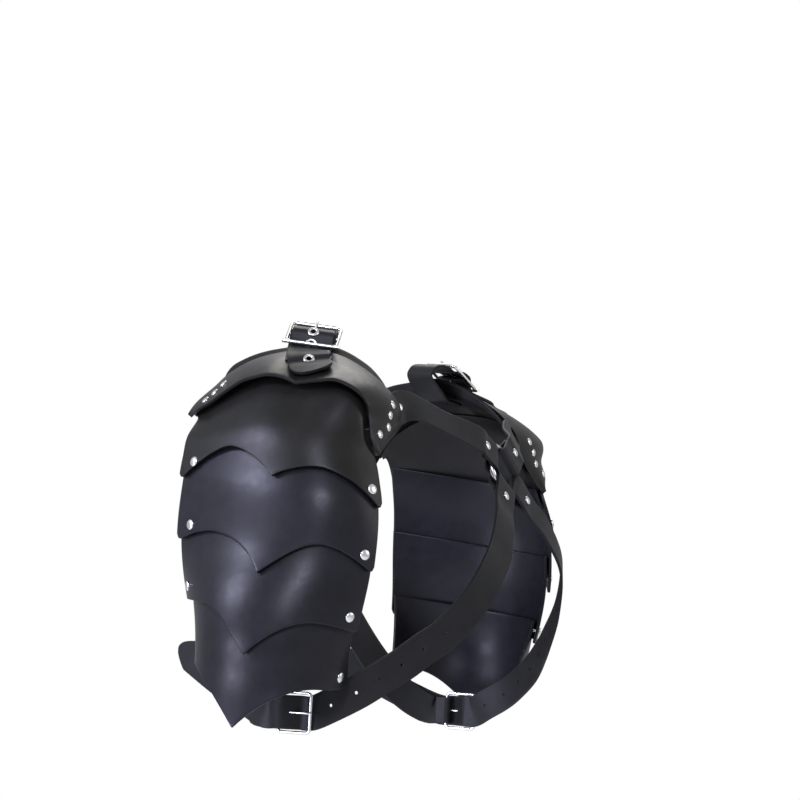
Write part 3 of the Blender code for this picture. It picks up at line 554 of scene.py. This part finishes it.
# %% Turned fittings
def turned(name, rings, sides=32, hollow=False):
    """A round part from rings of (radius, height) in mm, bottom to top, closed on itself if hollow."""
    bpy.ops.object.select_all(action="DESELECT")
    bpy.ops.mesh.primitive_circle_add(vertices=sides, radius=rings[0][0] * MM, location=(0, 0, rings[0][1] * MM),
                                      fill_type="NOTHING" if hollow else "NGON")
    bpy.ops.object.transform_apply(location=True, rotation=True, scale=True)
    part = bpy.context.object
    part.name = part.data.name = name
    bpy.ops.object.mode_set(mode="EDIT")
    bpy.ops.mesh.select_all(action="SELECT")
    for (radius, height), (new_radius, new_height) in zip(rings, rings[1:]):
        bpy.ops.mesh.extrude_region()
        bpy.ops.transform.translate(value=(0, 0, (new_height - height) * MM))
        share = new_radius / radius
        bpy.ops.transform.resize(value=(share, share, 1), center_override=(0, 0, new_height * MM))
    if hollow:
        bpy.ops.mesh.select_all(action="SELECT")
        bpy.ops.mesh.region_to_loop()
        bpy.ops.mesh.bridge_edge_loops()
    bpy.ops.mesh.select_all(action="SELECT")
    bpy.ops.mesh.normals_make_consistent(inside=False)
    bpy.ops.object.mode_set(mode="OBJECT")
    bpy.ops.object.shade_smooth_by_angle(angle=math.radians(50))
    return part


def seated(part, name, spot, face):
    """A copy of a turned part, set on a leather face, with its place in its mesh."""
    mesh = part.data.copy()
    mesh.transform(Matrix.Translation(spot) @ face.to_track_quat("Z", "Y").to_matrix().to_4x4())
    copy = bpy.data.objects.new(name, mesh)
    bpy.context.scene.collection.objects.link(copy)
    return copy


def dome(radius, depth):
    """Rings of a domed rivet head with its shank below."""
    rings = [(1.5, -depth), (1.5, -0.2), (radius * 0.97, 0.0), (radius, 0.35)]
    for turn in (20, 38, 55, 70, 82):
        a = math.radians(turn)
        rings.append((radius * math.cos(a), 0.35 + radius * 0.36 * math.sin(a)))
    return rings


plate_rivet = turned("plate rivet", dome(4.7, 7.0))
tab_rivet = turned("tab rivet", dome(3.8, 2.5), 24)
strap_rivet = turned("strap rivet", dome(4.2, 1.6), 28)
ROLLED_RIM = [(2.7, -1.2), (2.6, 0.3), (2.8, 0.7), (3.4, 0.95), (4.2, 0.9), (4.8, 0.6), (5.1, 0.15), (5.0, -0.05),
              (3.1, -0.05), (3.0, -1.2)]
eyelet = turned("eyelet", ROLLED_RIM, 36, True)
print("fittings", plate_rivet.name, tab_rivet.name, strap_rivet.name, eyelet.name)

# %% [markdown]
# One rivet at each corner joins a lame to the next and lets the stack swing. The caps are riveted through their front
# and back tabs to the strap ends beneath.

# %% Rivets on the plates
RIVET_PLACES = ((0.055, 0.945), (0.060, 0.935), (0.060, 0.935), (0.060, 0.940))
RIVET_RISES = ((9.5, 4.5), (10.0, 9.0), (12.0, 12.0), (10.5, 10.5))
plate_rivets = []
for number in range(4):
    for side, along, rise in zip(("front", "back"), RIVET_PLACES[number], RIVET_RISES[number]):
        edge = lower_edge(number, along)
        fall = edge - rise
        place = sleeve(along, fall, tuck(number, fall))
        ahead = sleeve(along + 0.01, fall, 0) - sleeve(along - 0.01, fall, 0)
        below = sleeve(along, fall + 2, 0) - sleeve(along, fall - 2, 0)
        face = below.cross(ahead).normalized()
        name = f"lame_{number + 1}_{side}_rivet_made_left"
        plate_rivets.append(seated(plate_rivet, name, place + face * LEATHER_THICKNESS / 2, face))

TAB_RIVETS = ((2.90, 0.34), (2.35, 0.46), (1.65, 0.46), (1.15, 0.72),
              (13.30, 0.84), (12.60, 0.80), (11.95, 0.74))
tab_rivets = []
for number, (row, across) in enumerate(TAB_RIVETS):
    face = cap_face(row, across, 0.3)
    tab_rivets.append(seated(tab_rivet, f"tab_rivet_{number + 1}_left",
                             cap(row, across) + face * LEATHER_THICKNESS / 2, face))
print("rivets", len(plate_rivets) + len(tab_rivets), "on one side")

# %% [markdown]
# Straps are cut from a hide with parallel edges, so a strap is its centre line, the way that its face looks along it
# and its width. It is laid as a ribbon of stations and then given its thickness, and its route is kept, so that rivets
# and eyelets can be set on it afterwards.

# %% Strap helpers
STRAP_WIDTH, LOOP_WIDTH, STRAP_THICKNESS = 30.0, 26.0, 0.0026
ROUTES = {}


def spread(stations, count):
    """Evenly numbered stations on the smooth curve through the given ones."""
    rows = [(*point, *face) for point, face in stations]
    result = []
    for k in range(count + 1):
        row = smooth_through(rows, k * (len(rows) - 1) / count)
        result.append((Vector(row[:3]), Vector(row[3:]).normalized()))
    return result


def even(stations, pitch):
    """The same route with a station every pitch, so that the mesh is even along the strap."""
    lengths = [0.0]
    for (first, _), (second, _) in zip(stations, stations[1:]):
        lengths.append(lengths[-1] + (second - first).length)
    count = max(int(lengths[-1] / pitch), 2)
    result, k = [], 0
    for step in range(count + 1):
        target = lengths[-1] * step / count
        while k < len(lengths) - 2 and lengths[k + 1] < target:
            k += 1
        share = (target - lengths[k]) / max(lengths[k + 1] - lengths[k], 1e-9)
        point = stations[k][0].lerp(stations[k + 1][0], share)
        face = stations[k][1].lerp(stations[k + 1][1], share).normalized()
        result.append((point, face))
    return result, lengths[-1]


def ribbon(name, stations, width_at, thickness, pitch=0.0022, rows=12):
    """A strap along its stations. width_at gives its width in millimetres at a distance from the start."""
    stations, length = even(spread(stations, len(stations) * 8), pitch)
    last = len(stations) - 1
    crosses = []
    for k, (_, face) in enumerate(stations):
        way = stations[min(k + 1, last)][0] - stations[max(k - 1, 0)][0]
        crosses.append(way.cross(face).normalized())

    def spot(along, across):
        k = min(round(along * last), last)
        run = along * length / MM
        width = width_at(run, length / MM)
        offset = (across - 0.5) * width
        end = min(run, length / MM - run)
        return stations[k][0] + crosses[k] * offset * MM, min(width / 2 - abs(offset), max(end, 0.0))

    ROUTES[name] = stations
    return cut_leather(name, spot, last, rows, thickness, 0.0005)


def on_route(name, point):
    """The strap's own place nearest to a point, with the way that its face looks there."""
    stations = ROUTES[name]
    k = min(range(1, len(stations) - 1), key=lambda k: (stations[k][0] - point).length)
    way = (stations[k + 1][0] - stations[k - 1][0]).normalized()
    face = stations[k][1]
    return stations[k][0], (face - way * face.dot(way)).normalized()


def route(rows):
    return [(Vector(row[:3]) * MM, Vector(row[3:]).normalized()) for row in rows]


def strap_width(run, length):
    return STRAP_WIDTH


print("straps", STRAP_WIDTH, "mm wide and", round(STRAP_THICKNESS / MM, 1), "mm thick")

# %% [markdown]
# The straps meet in a welded ring on the breast and in another between the shoulder blades. A torus gives the round
# wire, and the weld is a slight swelling at one place, as on real harness rings.

# %% Rings
RING_RADIUS, RING_WIRE = 0.0256, 0.0025
CHEST_RING = (Vector((0.0, -0.1320, -0.1000)), Vector((0.0, -0.951, 0.309)))
BACK_RING = (Vector((0.0, 0.1005, -0.1089)), Vector((0.0, 0.985, 0.174)))
rings = []
for name, (centre, face) in (("chest_ring", CHEST_RING), ("back_ring", BACK_RING)):
    bpy.ops.object.select_all(action="DESELECT")
    bpy.ops.mesh.primitive_torus_add(major_radius=RING_RADIUS, minor_radius=RING_WIRE, major_segments=96,
                                     minor_segments=20)
    ring = bpy.context.object
    ring.name = ring.data.name = name + "_made"
    for vert in ring.data.vertices:
        bearing = math.atan2(vert.co.y, vert.co.x)
        bead = 1 + 0.09 * math.exp(-((bearing + math.pi / 2) / 0.05) ** 2)
        core = Vector((math.cos(bearing), math.sin(bearing), 0)) * RING_RADIUS
        vert.co = core + (vert.co - core) * bead
    up = (Vector((0, 0, 1)) - face * face.z).normalized()
    turn = Matrix((up.cross(face), up, face)).transposed().to_4x4()
    ring.data.transform(Matrix.Translation(centre) @ turn)
    bpy.ops.object.shade_smooth()
    rings.append(finish_piece(ring, NICKEL, "nickel", name))
print("rings", [ring.name for ring in rings])

# %% [markdown]
# The end of a strap round a ring is folded over the wire, laid back beneath the strap and held by one rivet. The fold
# lies a little inside the ring's radius, because a flat strap can't follow the ring's curve across its width.

# %% Folded strap ends
def ring_loop(centre, face, angle):
    """Stations of a strap end: in over the ring's wire, round it and back beneath the strap."""
    up = (Vector((0, 0, 1)) - face * face.z).normalized()
    away = Vector((1, 0, 0)) * math.cos(angle) + up * math.sin(angle)
    half = RING_WIRE + 0.6 * MM + STRAP_THICKNESS / 2
    slack = RING_RADIUS - math.sqrt(RING_RADIUS**2 - (LOOP_WIDTH * MM / 2) ** 2) + 0.8 * MM
    fold = RING_RADIUS - slack
    rows = [(RING_RADIUS + 0.024, half * 0.8, 90), (RING_RADIUS + 0.012, half * 0.9, 90), (RING_RADIUS, half, 90)]
    rows += [(fold - half * math.cos(math.radians(turn)), half * math.sin(math.radians(turn)), turn)
             for turn in (90, 60, 30, 0, -30, -60, -90)]
    under = half * 0.9 - STRAP_THICKNESS - 0.4 * MM
    rows += [(RING_RADIUS + 0.001, -half, -90), (RING_RADIUS + 0.006, -0.45 * half, -70),
             (RING_RADIUS + 0.011, under, -90), (RING_RADIUS + 0.0155, under * 0.95, -90)]
    stations = []
    for out, level, turn in rows:
        a = math.radians(turn)
        stations.append((centre + away * out + face * level, -away * math.cos(a) + face * math.sin(a)))
    rivet = centre + away * (RING_RADIUS + 0.0125) + face * (half * 0.9 + STRAP_THICKNESS / 2)
    return stations, rivet


print("a loop has", len(ring_loop(*CHEST_RING, 0.0)[0]), "stations")

# %% [markdown]
# The chest strap runs from under the cap's front tab to the chest ring, and the back strap does the same behind. Each
# route is a handful of points read where the strap shows, with its face turning slowly from one to the next.

# %% Chest and back straps
CHEST_ROUTE = (
    (168, -84.5, -77.5, 0.10, -0.98, 0.15), (148, -84.0, -66, 0.10, -0.97, 0.20),
    (132, -84.5, -54, 0.14, -0.95, 0.26), (112, -92, -49, 0.08, -0.91, 0.40), (75, -108, -61, 0.00, -0.90, 0.43),
)
BACK_ROUTE = (
    (174.7, 85, -54.5, 0.35, 0.90, 0.20), (151, 85.5, -44.6, 0.25, 0.93, 0.25), (126, 91.5, -39, 0.15, 0.94, 0.30),
    (94, 100.5, -49.5, 0.05, 0.96, 0.26), (70.6, 103.5, -67.7, 0.02, 0.98, 0.20),
)
UPPER_LOOP, LOWER_LOOP = math.radians(33), math.radians(-49)
chest_loop, chest_rivet = ring_loop(*CHEST_RING, UPPER_LOOP)
chest_strap = ribbon("chest_strap_made_left", route(CHEST_ROUTE) + chest_loop, strap_width, STRAP_THICKNESS)
back_loop, back_rivet = ring_loop(*BACK_RING, UPPER_LOOP)
back_strap = ribbon("back_strap_made_left", route(BACK_ROUTE) + back_loop, strap_width, STRAP_THICKNESS)
strap_rivets = [seated(strap_rivet, "chest_strap_rivet_left", chest_rivet, CHEST_RING[1]),
                seated(strap_rivet, "back_strap_rivet_left", back_rivet, BACK_RING[1])]
strap_rivets.append(seated(strap_rivet, "chest_strap_root_rivet_left", *on_route(
    chest_strap.name, Vector((0.128, -0.088, -0.052)))))
print("chest strap", [round(side * 1000) for side in chest_strap.dimensions], "mm")

# %% [markdown]
# A buckle is one bent wire with a bar across it, and the prong is a shorter wire hooked round that bar. Both are drawn
# as curves with a round bevel and then made a mesh. The roller of the shoulder buckle is a tube round its bar next
# to the neck.

# %% Wire helpers
BUCKLE_WIRE, PRONG_WIRE, ROLLER = 0.0015, 0.0011, 0.0026


def wire(name, points, radius, closed):
    """A round wire through points, as a mesh."""
    path = bpy.data.curves.new(name, "CURVE")
    path.dimensions = "3D"
    path.bevel_depth = radius
    path.bevel_resolution = 4
    path.use_fill_caps = not closed
    spline = path.splines.new("POLY")
    spline.points.add(len(points) - 1)
    for knot, point in zip(spline.points, points):
        knot.co = (*point, 1.0)
    spline.use_cyclic_u = closed
    piece = bpy.data.objects.new(name, path)
    bpy.context.scene.collection.objects.link(piece)
    bpy.ops.object.select_all(action="DESELECT")
    piece.select_set(True)
    bpy.context.view_layer.objects.active = piece
    bpy.ops.object.convert(target="MESH")
    piece = bpy.context.object
    bpy.ops.object.mode_set(mode="EDIT")
    bpy.ops.mesh.select_all(action="SELECT")
    bpy.ops.mesh.remove_doubles(threshold=0.00002)
    bpy.ops.mesh.normals_make_consistent(inside=False)
    bpy.ops.object.mode_set(mode="OBJECT")
    bpy.ops.object.shade_smooth_by_angle(angle=math.radians(45))
    return piece


def join(pieces, name):
    bpy.ops.object.select_all(action="DESELECT")
    for piece in pieces:
        piece.select_set(True)
    bpy.context.view_layer.objects.active = pieces[0]
    bpy.ops.object.join()
    pieces[0].name = pieces[0].data.name = name
    return pieces[0]


def frame_outline(centre, way, cross, near, far, half):
    """Points of a rectangle of wire with rounded corners."""
    curve = 0.0038
    points = []
    for along, side, first in ((far - curve, half - curve, 0), (near + curve, half - curve, 90),
                               (near + curve, -half + curve, 180), (far - curve, -half + curve, 270)):
        for step in range(7):
            a = math.radians(first + 15 * step)
            points.append(centre + way * (along + curve * math.cos(a)) + cross * (side + curve * math.sin(a)))
    return points


def prong(name, hinge, rest, face):
    way = (rest - hinge).normalized()
    curl = BUCKLE_WIRE + PRONG_WIRE + 0.3 * MM
    points = []
    for turn in list(range(-50, -181, -15)) + list(range(165, 89, -15)):
        a = math.radians(turn)
        points.append(hinge + way * curl * math.cos(a) + face * curl * math.sin(a))
    points += [points[-1].lerp(rest, k / 6) for k in range(1, 7)]
    points.append(rest + way * 0.0012 - face * 0.0006)
    return wire(name, points, PRONG_WIRE, False)


print("wires", [round(2 * radius / MM, 1) for radius in (BUCKLE_WIRE, PRONG_WIRE, ROLLER)], "mm")

# %% [markdown]
# A wide roller buckle sits on top of each shoulder. Its bars are placed as shares of one line, from the roller to the
# round end of the tongue, so the whole fitting can be moved by its two ends. The prong turns on the hinge bar, comes up
# through the tongue and rests on the roller.

# %% Shoulder buckle
ROLLER_PLACE = Vector((0.1331, -0.0041, 0.0283))
TONGUE_END = Vector((0.1981, -0.0259, -0.0193))
buckle_way = (TONGUE_END - ROLLER_PLACE).normalized()
buckle_length = (TONGUE_END - ROLLER_PLACE).length
buckle_lean = Vector((0.0, -0.16, 1.0))
buckle_face = (buckle_lean - buckle_way * buckle_way.dot(buckle_lean)).normalized()
buckle_cross = buckle_way.cross(buckle_face)
HINGE, OUTER_BAR = 0.27 * buckle_length, 0.46 * buckle_length
ANCHOR_WIDTH, TONGUE_WIDTH, ANCHOR_THICKNESS = 42.0, 38.0, 0.0016


def on_buckle(along, level):
    return ROLLER_PLACE + buckle_way * along + buckle_face * level


half_frame = ANCHOR_WIDTH * MM / 2 + 0.0004 + BUCKLE_WIRE
hinge_spot = on_buckle(HINGE, 0)
outline = frame_outline(ROLLER_PLACE, buckle_way, buckle_cross, 0.0, OUTER_BAR, half_frame)
bars = [wire("frame", outline, 0.0017, True)]
hinge_ends = [hinge_spot + buckle_cross * side * half_frame for side in (-1, 1)]
bars.append(wire("hinge bar", hinge_ends, BUCKLE_WIRE * 0.9, False))
roller_reach = half_frame - 0.0045
roller_stops = [on_buckle(0, 0) + buckle_cross * roller_reach * side for side in (-1, -0.94, 0.94, 1)]
bars.append(wire("roller", roller_stops, ROLLER, False))
outer_reach = half_frame + 0.0035
outer_stops = [on_buckle(OUTER_BAR, 0) + buckle_cross * side * outer_reach for side in (-1, -0.93, 0.93, 1)]
bars.append(wire("outer bar", outer_stops, 0.0018, False))
shoulder_buckle = join(bars, "shoulder_buckle_made_left")
prong_rest = on_buckle(-0.001, ROLLER + PRONG_WIRE + 0.0003)
shoulder_prong = prong("shoulder_prong_made_left", hinge_spot, prong_rest, buckle_face)
print("buckle", [round(side * 1000) for side in shoulder_buckle.dimensions], "mm")

# %% [markdown]
# The tongue comes up from the neck side of the yoke, turns over, passes under the roller, rises over the hinge bar,
# dives under the outer bar and lies out over the cap, where its end is cut to a half round. Its route is laid from the
# buckle's own bars, so that the leather clears each of them by a fraction of a millimetre.

# %% Tongue
under_roller = -(ROLLER + 0.0004 + STRAP_THICKNESS / 2)
over_hinge = BUCKLE_WIRE + 0.0008 + 2 * PRONG_WIRE + STRAP_THICKNESS / 2
under_end = -(BUCKLE_WIRE + 0.0012 + STRAP_THICKNESS / 2)
on_anchor, on_cap = 8.3, 5.1
HIDDEN_END = ((7.35, 0.20, 3.6), (7.30, 0.06, 4.3), (7.25, -0.06, 4.9))
NECK_TURN = ((0.14, -0.0270, 150), (0.19, -0.0200, 110), (0.17, -0.0130, 80), (0.08, -0.0062, 35))
OVER_CAP = ((6.80, 0.52, on_anchor), (6.66, 0.62, on_cap), (6.50, 0.72, on_cap), (6.22, 0.895, on_cap))
tongue_route = [(cap(row, across, -lift * LAYER), -cap_face(row, 0.10)) for row, across, lift in HIDDEN_END]
for inward, level, turn in NECK_TURN:
    looks = buckle_face * math.cos(math.radians(turn)) - buckle_way * math.sin(math.radians(turn))
    tongue_route.append((on_buckle(-inward * buckle_length, level), looks))
for share, level in ((0.0, under_roller), (0.07, under_roller * 0.8), (0.13, 0.0), (0.19, over_hinge * 0.7),
                     (0.27, over_hinge), (0.325, over_hinge * 0.9), (0.39, under_end * 0.2), (0.46, under_end)):
    tongue_route.append((on_buckle(share * buckle_length, level), buckle_face))
for row, across, lift in OVER_CAP:
    tongue_route.append((cap(row, across, lift), cap_face(row, across)))


def tongue_width(run, length):
    """The tongue's end is cut to a half round."""
    left = length - run
    radius = TONGUE_WIDTH / 2
    depth = 17.0
    if left >= depth:
        return TONGUE_WIDTH
    return 2 * radius * max(1 - (1 - left / depth) ** 2.1, 0.0) ** 0.5 + 0.3


tongue = ribbon("buckle_tongue_made_left", tongue_route, tongue_width, STRAP_THICKNESS, 0.0016, 18)
print("tongue", [round(side * 1000) for side in tongue.dimensions], "mm")

# %% [markdown]
# Holes are punched after the strap is laid, as a saddler does it: one cylinder for each hole, taken out of the leather
# with a Boolean. The prong's hole slants the way the prong comes up. Three more holes show on the tongue, and each of
# them is lined with an eyelet.

# %% Punched holes and eyelets
def punch(piece, spots, radius, long=1.0):
    """Punches round holes through a strap, at spots of (point, face, way)."""
    bpy.ops.object.select_all(action="DESELECT")
    bpy.ops.mesh.primitive_cylinder_add(vertices=28, radius=radius, depth=0.012)
    cutter = bpy.context.object
    shapes = []
    for point, face, way in spots:
        mesh = cutter.data.copy()
        side = way.cross(face).normalized()
        turn = Matrix((side.cross(face), side, face)).transposed().to_4x4()
        if turn.determinant() < 0:
            turn = Matrix((-side.cross(face), side, face)).transposed().to_4x4()
        mesh.transform(Matrix.Translation(point) @ turn @ Matrix.Diagonal((long, 1, 1, 1)))
        copy = bpy.data.objects.new("punch", mesh)
        bpy.context.scene.collection.objects.link(copy)
        shapes.append(copy)
    for shape in shapes:
        apply_modifier(piece, "BOOLEAN", operation="DIFFERENCE", object=shape, solver="EXACT")
        bpy.data.objects.remove(shape)
    bpy.data.objects.remove(cutter)


eyelet_spots = [on_route(tongue.name, point) for point in (
    on_buckle(0.320 * buckle_length, over_hinge * 0.9), on_buckle(0.410 * buckle_length, under_end * 0.4),
    cap(6.68, 0.59, on_cap))]
prong_way = (buckle_face - buckle_way * 0.8).normalized()
punch(tongue, [(on_buckle(0.18 * buckle_length, 0.0033), prong_way, buckle_way)], 0.0024)
punch(tongue, [(spot, face, buckle_way) for spot, face in eyelet_spots], 0.0030)
eyelets = [seated(eyelet, f"eyelet_{number + 1}_left", spot + face * STRAP_THICKNESS / 2, face)
           for number, (spot, face) in enumerate(eyelet_spots)]
print("eyelets", [piece.name for piece in eyelets])

# %% [markdown]
# A short anchor strap holds the buckle. It is thin, because it is folded round the hinge bar: one end lies between the
# tongue and the cap, and the other turns back below the bar.

# %% Anchor strap
anchor_layer = STRAP_THICKNESS / 2 + 0.0008 + ANCHOR_THICKNESS / 2
anchor_route = [(cap(6.82, 0.52, 3.4), cap_face(6.82, 0.52)),
                (on_buckle(OUTER_BAR, under_end - anchor_layer), buckle_face),
                (on_buckle(0.40 * buckle_length, under_end * 0.6 - anchor_layer), buckle_face)]
fold_half = BUCKLE_WIRE + 0.0004 + ANCHOR_THICKNESS / 2
for turn in (90, 60, 30, 0, -30, -60, -90):
    a = math.radians(turn)
    looks = buckle_face * math.sin(a) - buckle_way * math.cos(a)
    anchor_route.append((hinge_spot + looks * fold_half, looks))
anchor_route.append((hinge_spot + buckle_way * 0.005 - buckle_face * fold_half, -buckle_face))


def anchor_width(run, length):
    return ANCHOR_WIDTH


anchor = ribbon("buckle_anchor_made_left", anchor_route, anchor_width, ANCHOR_THICKNESS, 0.0016, 12)
print("anchor", [round(side * 1000) for side in anchor.dimensions], "mm")

# %% [markdown]
# Below each arm a plain, nearly square buckle joins the strap from the chest to the strap from the back. It lies flat
# against the ribs, with its hinge bar towards the back and its prong pointing forward.

# %% Side buckle
SIDE_BUCKLE = Vector((0.1747, -0.0060, -0.3241))
side_way = Vector((0.02, 0.995, 0.06)).normalized()
side_face = (Vector((1, 0, 0)) - side_way * side_way.x).normalized()
side_cross = side_way.cross(side_face)
SIDE_HALF = 0.016


def on_side(along, level):
    return SIDE_BUCKLE + side_way * along + side_face * level


side_outline = frame_outline(SIDE_BUCKLE, side_way, side_cross, -SIDE_HALF, SIDE_HALF, SIDE_HALF + BUCKLE_WIRE)
side_buckle = wire("side_buckle_made_left", side_outline, BUCKLE_WIRE, True)
side_hinge = on_side(SIDE_HALF, 0)
side_rest = on_side(-SIDE_HALF - 0.001, BUCKLE_WIRE + PRONG_WIRE + 0.0003)
side_prong = prong("side_prong_made_left", side_hinge, side_rest, side_face)
print("side buckle", [round(side * 1000) for side in side_buckle.dimensions], "mm")

# %% [markdown]
# The under-arm strap leaves the chest ring, crosses the ribs and reaches the side buckle below the arm. There it passes
# under the front bar, over the hinge bar and on as a free tail with a pointed end. It is punched for adjusting.

# %% Under-arm strap
UNDER_ARM_ROUTE = (
    (50, -155, -153, 0.16, -0.97, 0.15), (74, -159.5, -185, 0.30, -0.94, 0.10), (95, -147, -224, 0.45, -0.89, -0.05),
    (116, -126, -255, 0.62, -0.78, -0.08), (132, -112, -269, 0.72, -0.69, -0.06), (145, -97, -283, 0.82, -0.57, -0.05),
    (155, -80, -295, 0.90, -0.44, -0.04), (162, -61, -307, 0.96, -0.29, -0.03), (166, -38, -318, 0.99, -0.12, -0.02),
)
TAIL_ROUTE = ((174.7, 37.5, -315.2, 0.98, 0.15, 0.02), (164.6, 78.6, -293.7, 0.97, 0.22, 0.04),
              (151.0, 128.5, -264, 0.96, 0.26, 0.06))
POINT_LENGTH, POINT_WIDTH = 17.0, 3.0
under = -(BUCKLE_WIRE + 0.0004 + STRAP_THICKNESS / 2)
over = BUCKLE_WIRE + 0.0008 + STRAP_THICKNESS * 1.5
lower_loop, lower_rivet = ring_loop(*CHEST_RING, LOWER_LOOP)
under_arm = lower_loop[::-1] + route(UNDER_ARM_ROUTE) + [
    (on_side(-SIDE_HALF, under), side_face), (on_side(-0.0056, under * 0.8), side_face),
    (on_side(0.0, -under * 0.25), side_face), (on_side(0.008, over * 0.8), side_face),
    (on_side(SIDE_HALF, over), side_face), (on_side(SIDE_HALF + 0.010, over * 1.05), side_face)] + route(TAIL_ROUTE)


def pointed(run, length):
    """The free tail ends in a blunt arrow point."""
    left = length - run
    if left > POINT_LENGTH:
        return STRAP_WIDTH
    return POINT_WIDTH + (STRAP_WIDTH - POINT_WIDTH) * (max(left, 0.0) / POINT_LENGTH) ** 0.62


under_arm_strap = ribbon("under_arm_strap_made_left", under_arm, pointed, STRAP_THICKNESS)
hole_rows = route(UNDER_ARM_ROUTE)[3:]
punch(under_arm_strap, [(point, face, Vector((0.4, 0.8, -0.5))) for point, face in hole_rows], 0.0015)
print("under-arm strap", [round(side * 1000) for side in under_arm_strap.dimensions], "mm")

# %% [markdown]
# The lower back strap comes from the back ring and runs down and forward over the ribs. At the side buckle it narrows
# to fit inside the frame, and is folded round the hinge bar.

# %% Lower back strap
LOWER_BACK_ROUTE = (
    (64, 100.5, -155, 0.15, 0.98, 0.05), (97, 91.5, -211, 0.35, 0.93, 0.00), (129, 75, -264, 0.62, 0.78, -0.02),
    (153, 51, -303.6, 0.85, 0.52, -0.02),
)
back_lower_loop, back_lower_rivet = ring_loop(*BACK_RING, LOWER_LOOP)
lower_back = back_lower_loop[::-1] + route(LOWER_BACK_ROUTE) + [
    (on_side(SIDE_HALF + 0.020, -0.0024), side_face), (on_side(SIDE_HALF + 0.009, -under * 0.6), side_face)]
fold_half = BUCKLE_WIRE + 0.0004 + STRAP_THICKNESS / 2
for turn in (90, 60, 30, 0, -30, -60, -90):
    a = math.radians(turn)
    looks = side_face * math.sin(a) - side_way * math.cos(a)
    lower_back.append((side_hinge + looks * fold_half, looks))
lower_back.append((on_side(SIDE_HALF + 0.010, -fold_half), -side_face))


def narrowed(run, length):
    return LOOP_WIDTH + (STRAP_WIDTH - LOOP_WIDTH) * min(max((length - run - 34) / 10, 0.0), 1.0)


lower_back_strap = ribbon("lower_back_strap_made_left", lower_back, narrowed, STRAP_THICKNESS)
strap_rivets += [seated(strap_rivet, "under_arm_rivet_left", lower_rivet, CHEST_RING[1]),
                 seated(strap_rivet, "lower_back_rivet_left", back_lower_rivet, BACK_RING[1])]
print("lower back strap", [round(side * 1000) for side in lower_back_strap.dimensions], "mm")

# %% [markdown]
# The two sides are mirror images, so everything made so far for the wearer's left is copied to the right. A mirrored
# mesh is inside out, so its faces are turned round again.

# %% Both sides
for spare in (plate_rivet, tab_rivet, strap_rivet, eyelet):
    bpy.data.objects.remove(spare)

leathers = [(piece, BLUE_TINTED_PLATE_LEATHER, "plate_leather") for piece in lames_left[1:]]
# The first lame sits in the cap's shadow, so it takes the untinted cap leather rather than the blue-tinted plate
# leather.
leathers += [(piece, CAP_LEATHER, "plate_leather") for piece in (cap_left, lames_left[0])]
leathers += [(piece, STRAP_LEATHER, "strap_leather") for piece in (
    yoke_left, chest_strap, back_strap, under_arm_strap, lower_back_strap, tongue, anchor)]
metals = [(piece, NICKEL, "nickel") for piece in (
    shoulder_buckle, shoulder_prong, side_buckle, side_prong, *plate_rivets, *tab_rivets, *strap_rivets, *eyelets)]
for piece, finish, slot in leathers + metals:
    name = piece.name
    twin_mesh = piece.data.copy()
    twin_mesh.transform(Matrix.Scale(-1, 4, Vector((1, 0, 0))))
    twin_mesh.flip_normals()
    twin = bpy.data.objects.new(name.replace("_left", "_right"), twin_mesh)
    bpy.context.scene.collection.objects.link(twin)
    node = name.replace("_made_left", "") if "_made_left" in name else None
    finish_piece(piece, finish, slot, node and f"{node}_left")
    finish_piece(twin, finish, slot, node and f"{node}_right")
print("pieces", 2 * len(leathers + metals) + len(rings))
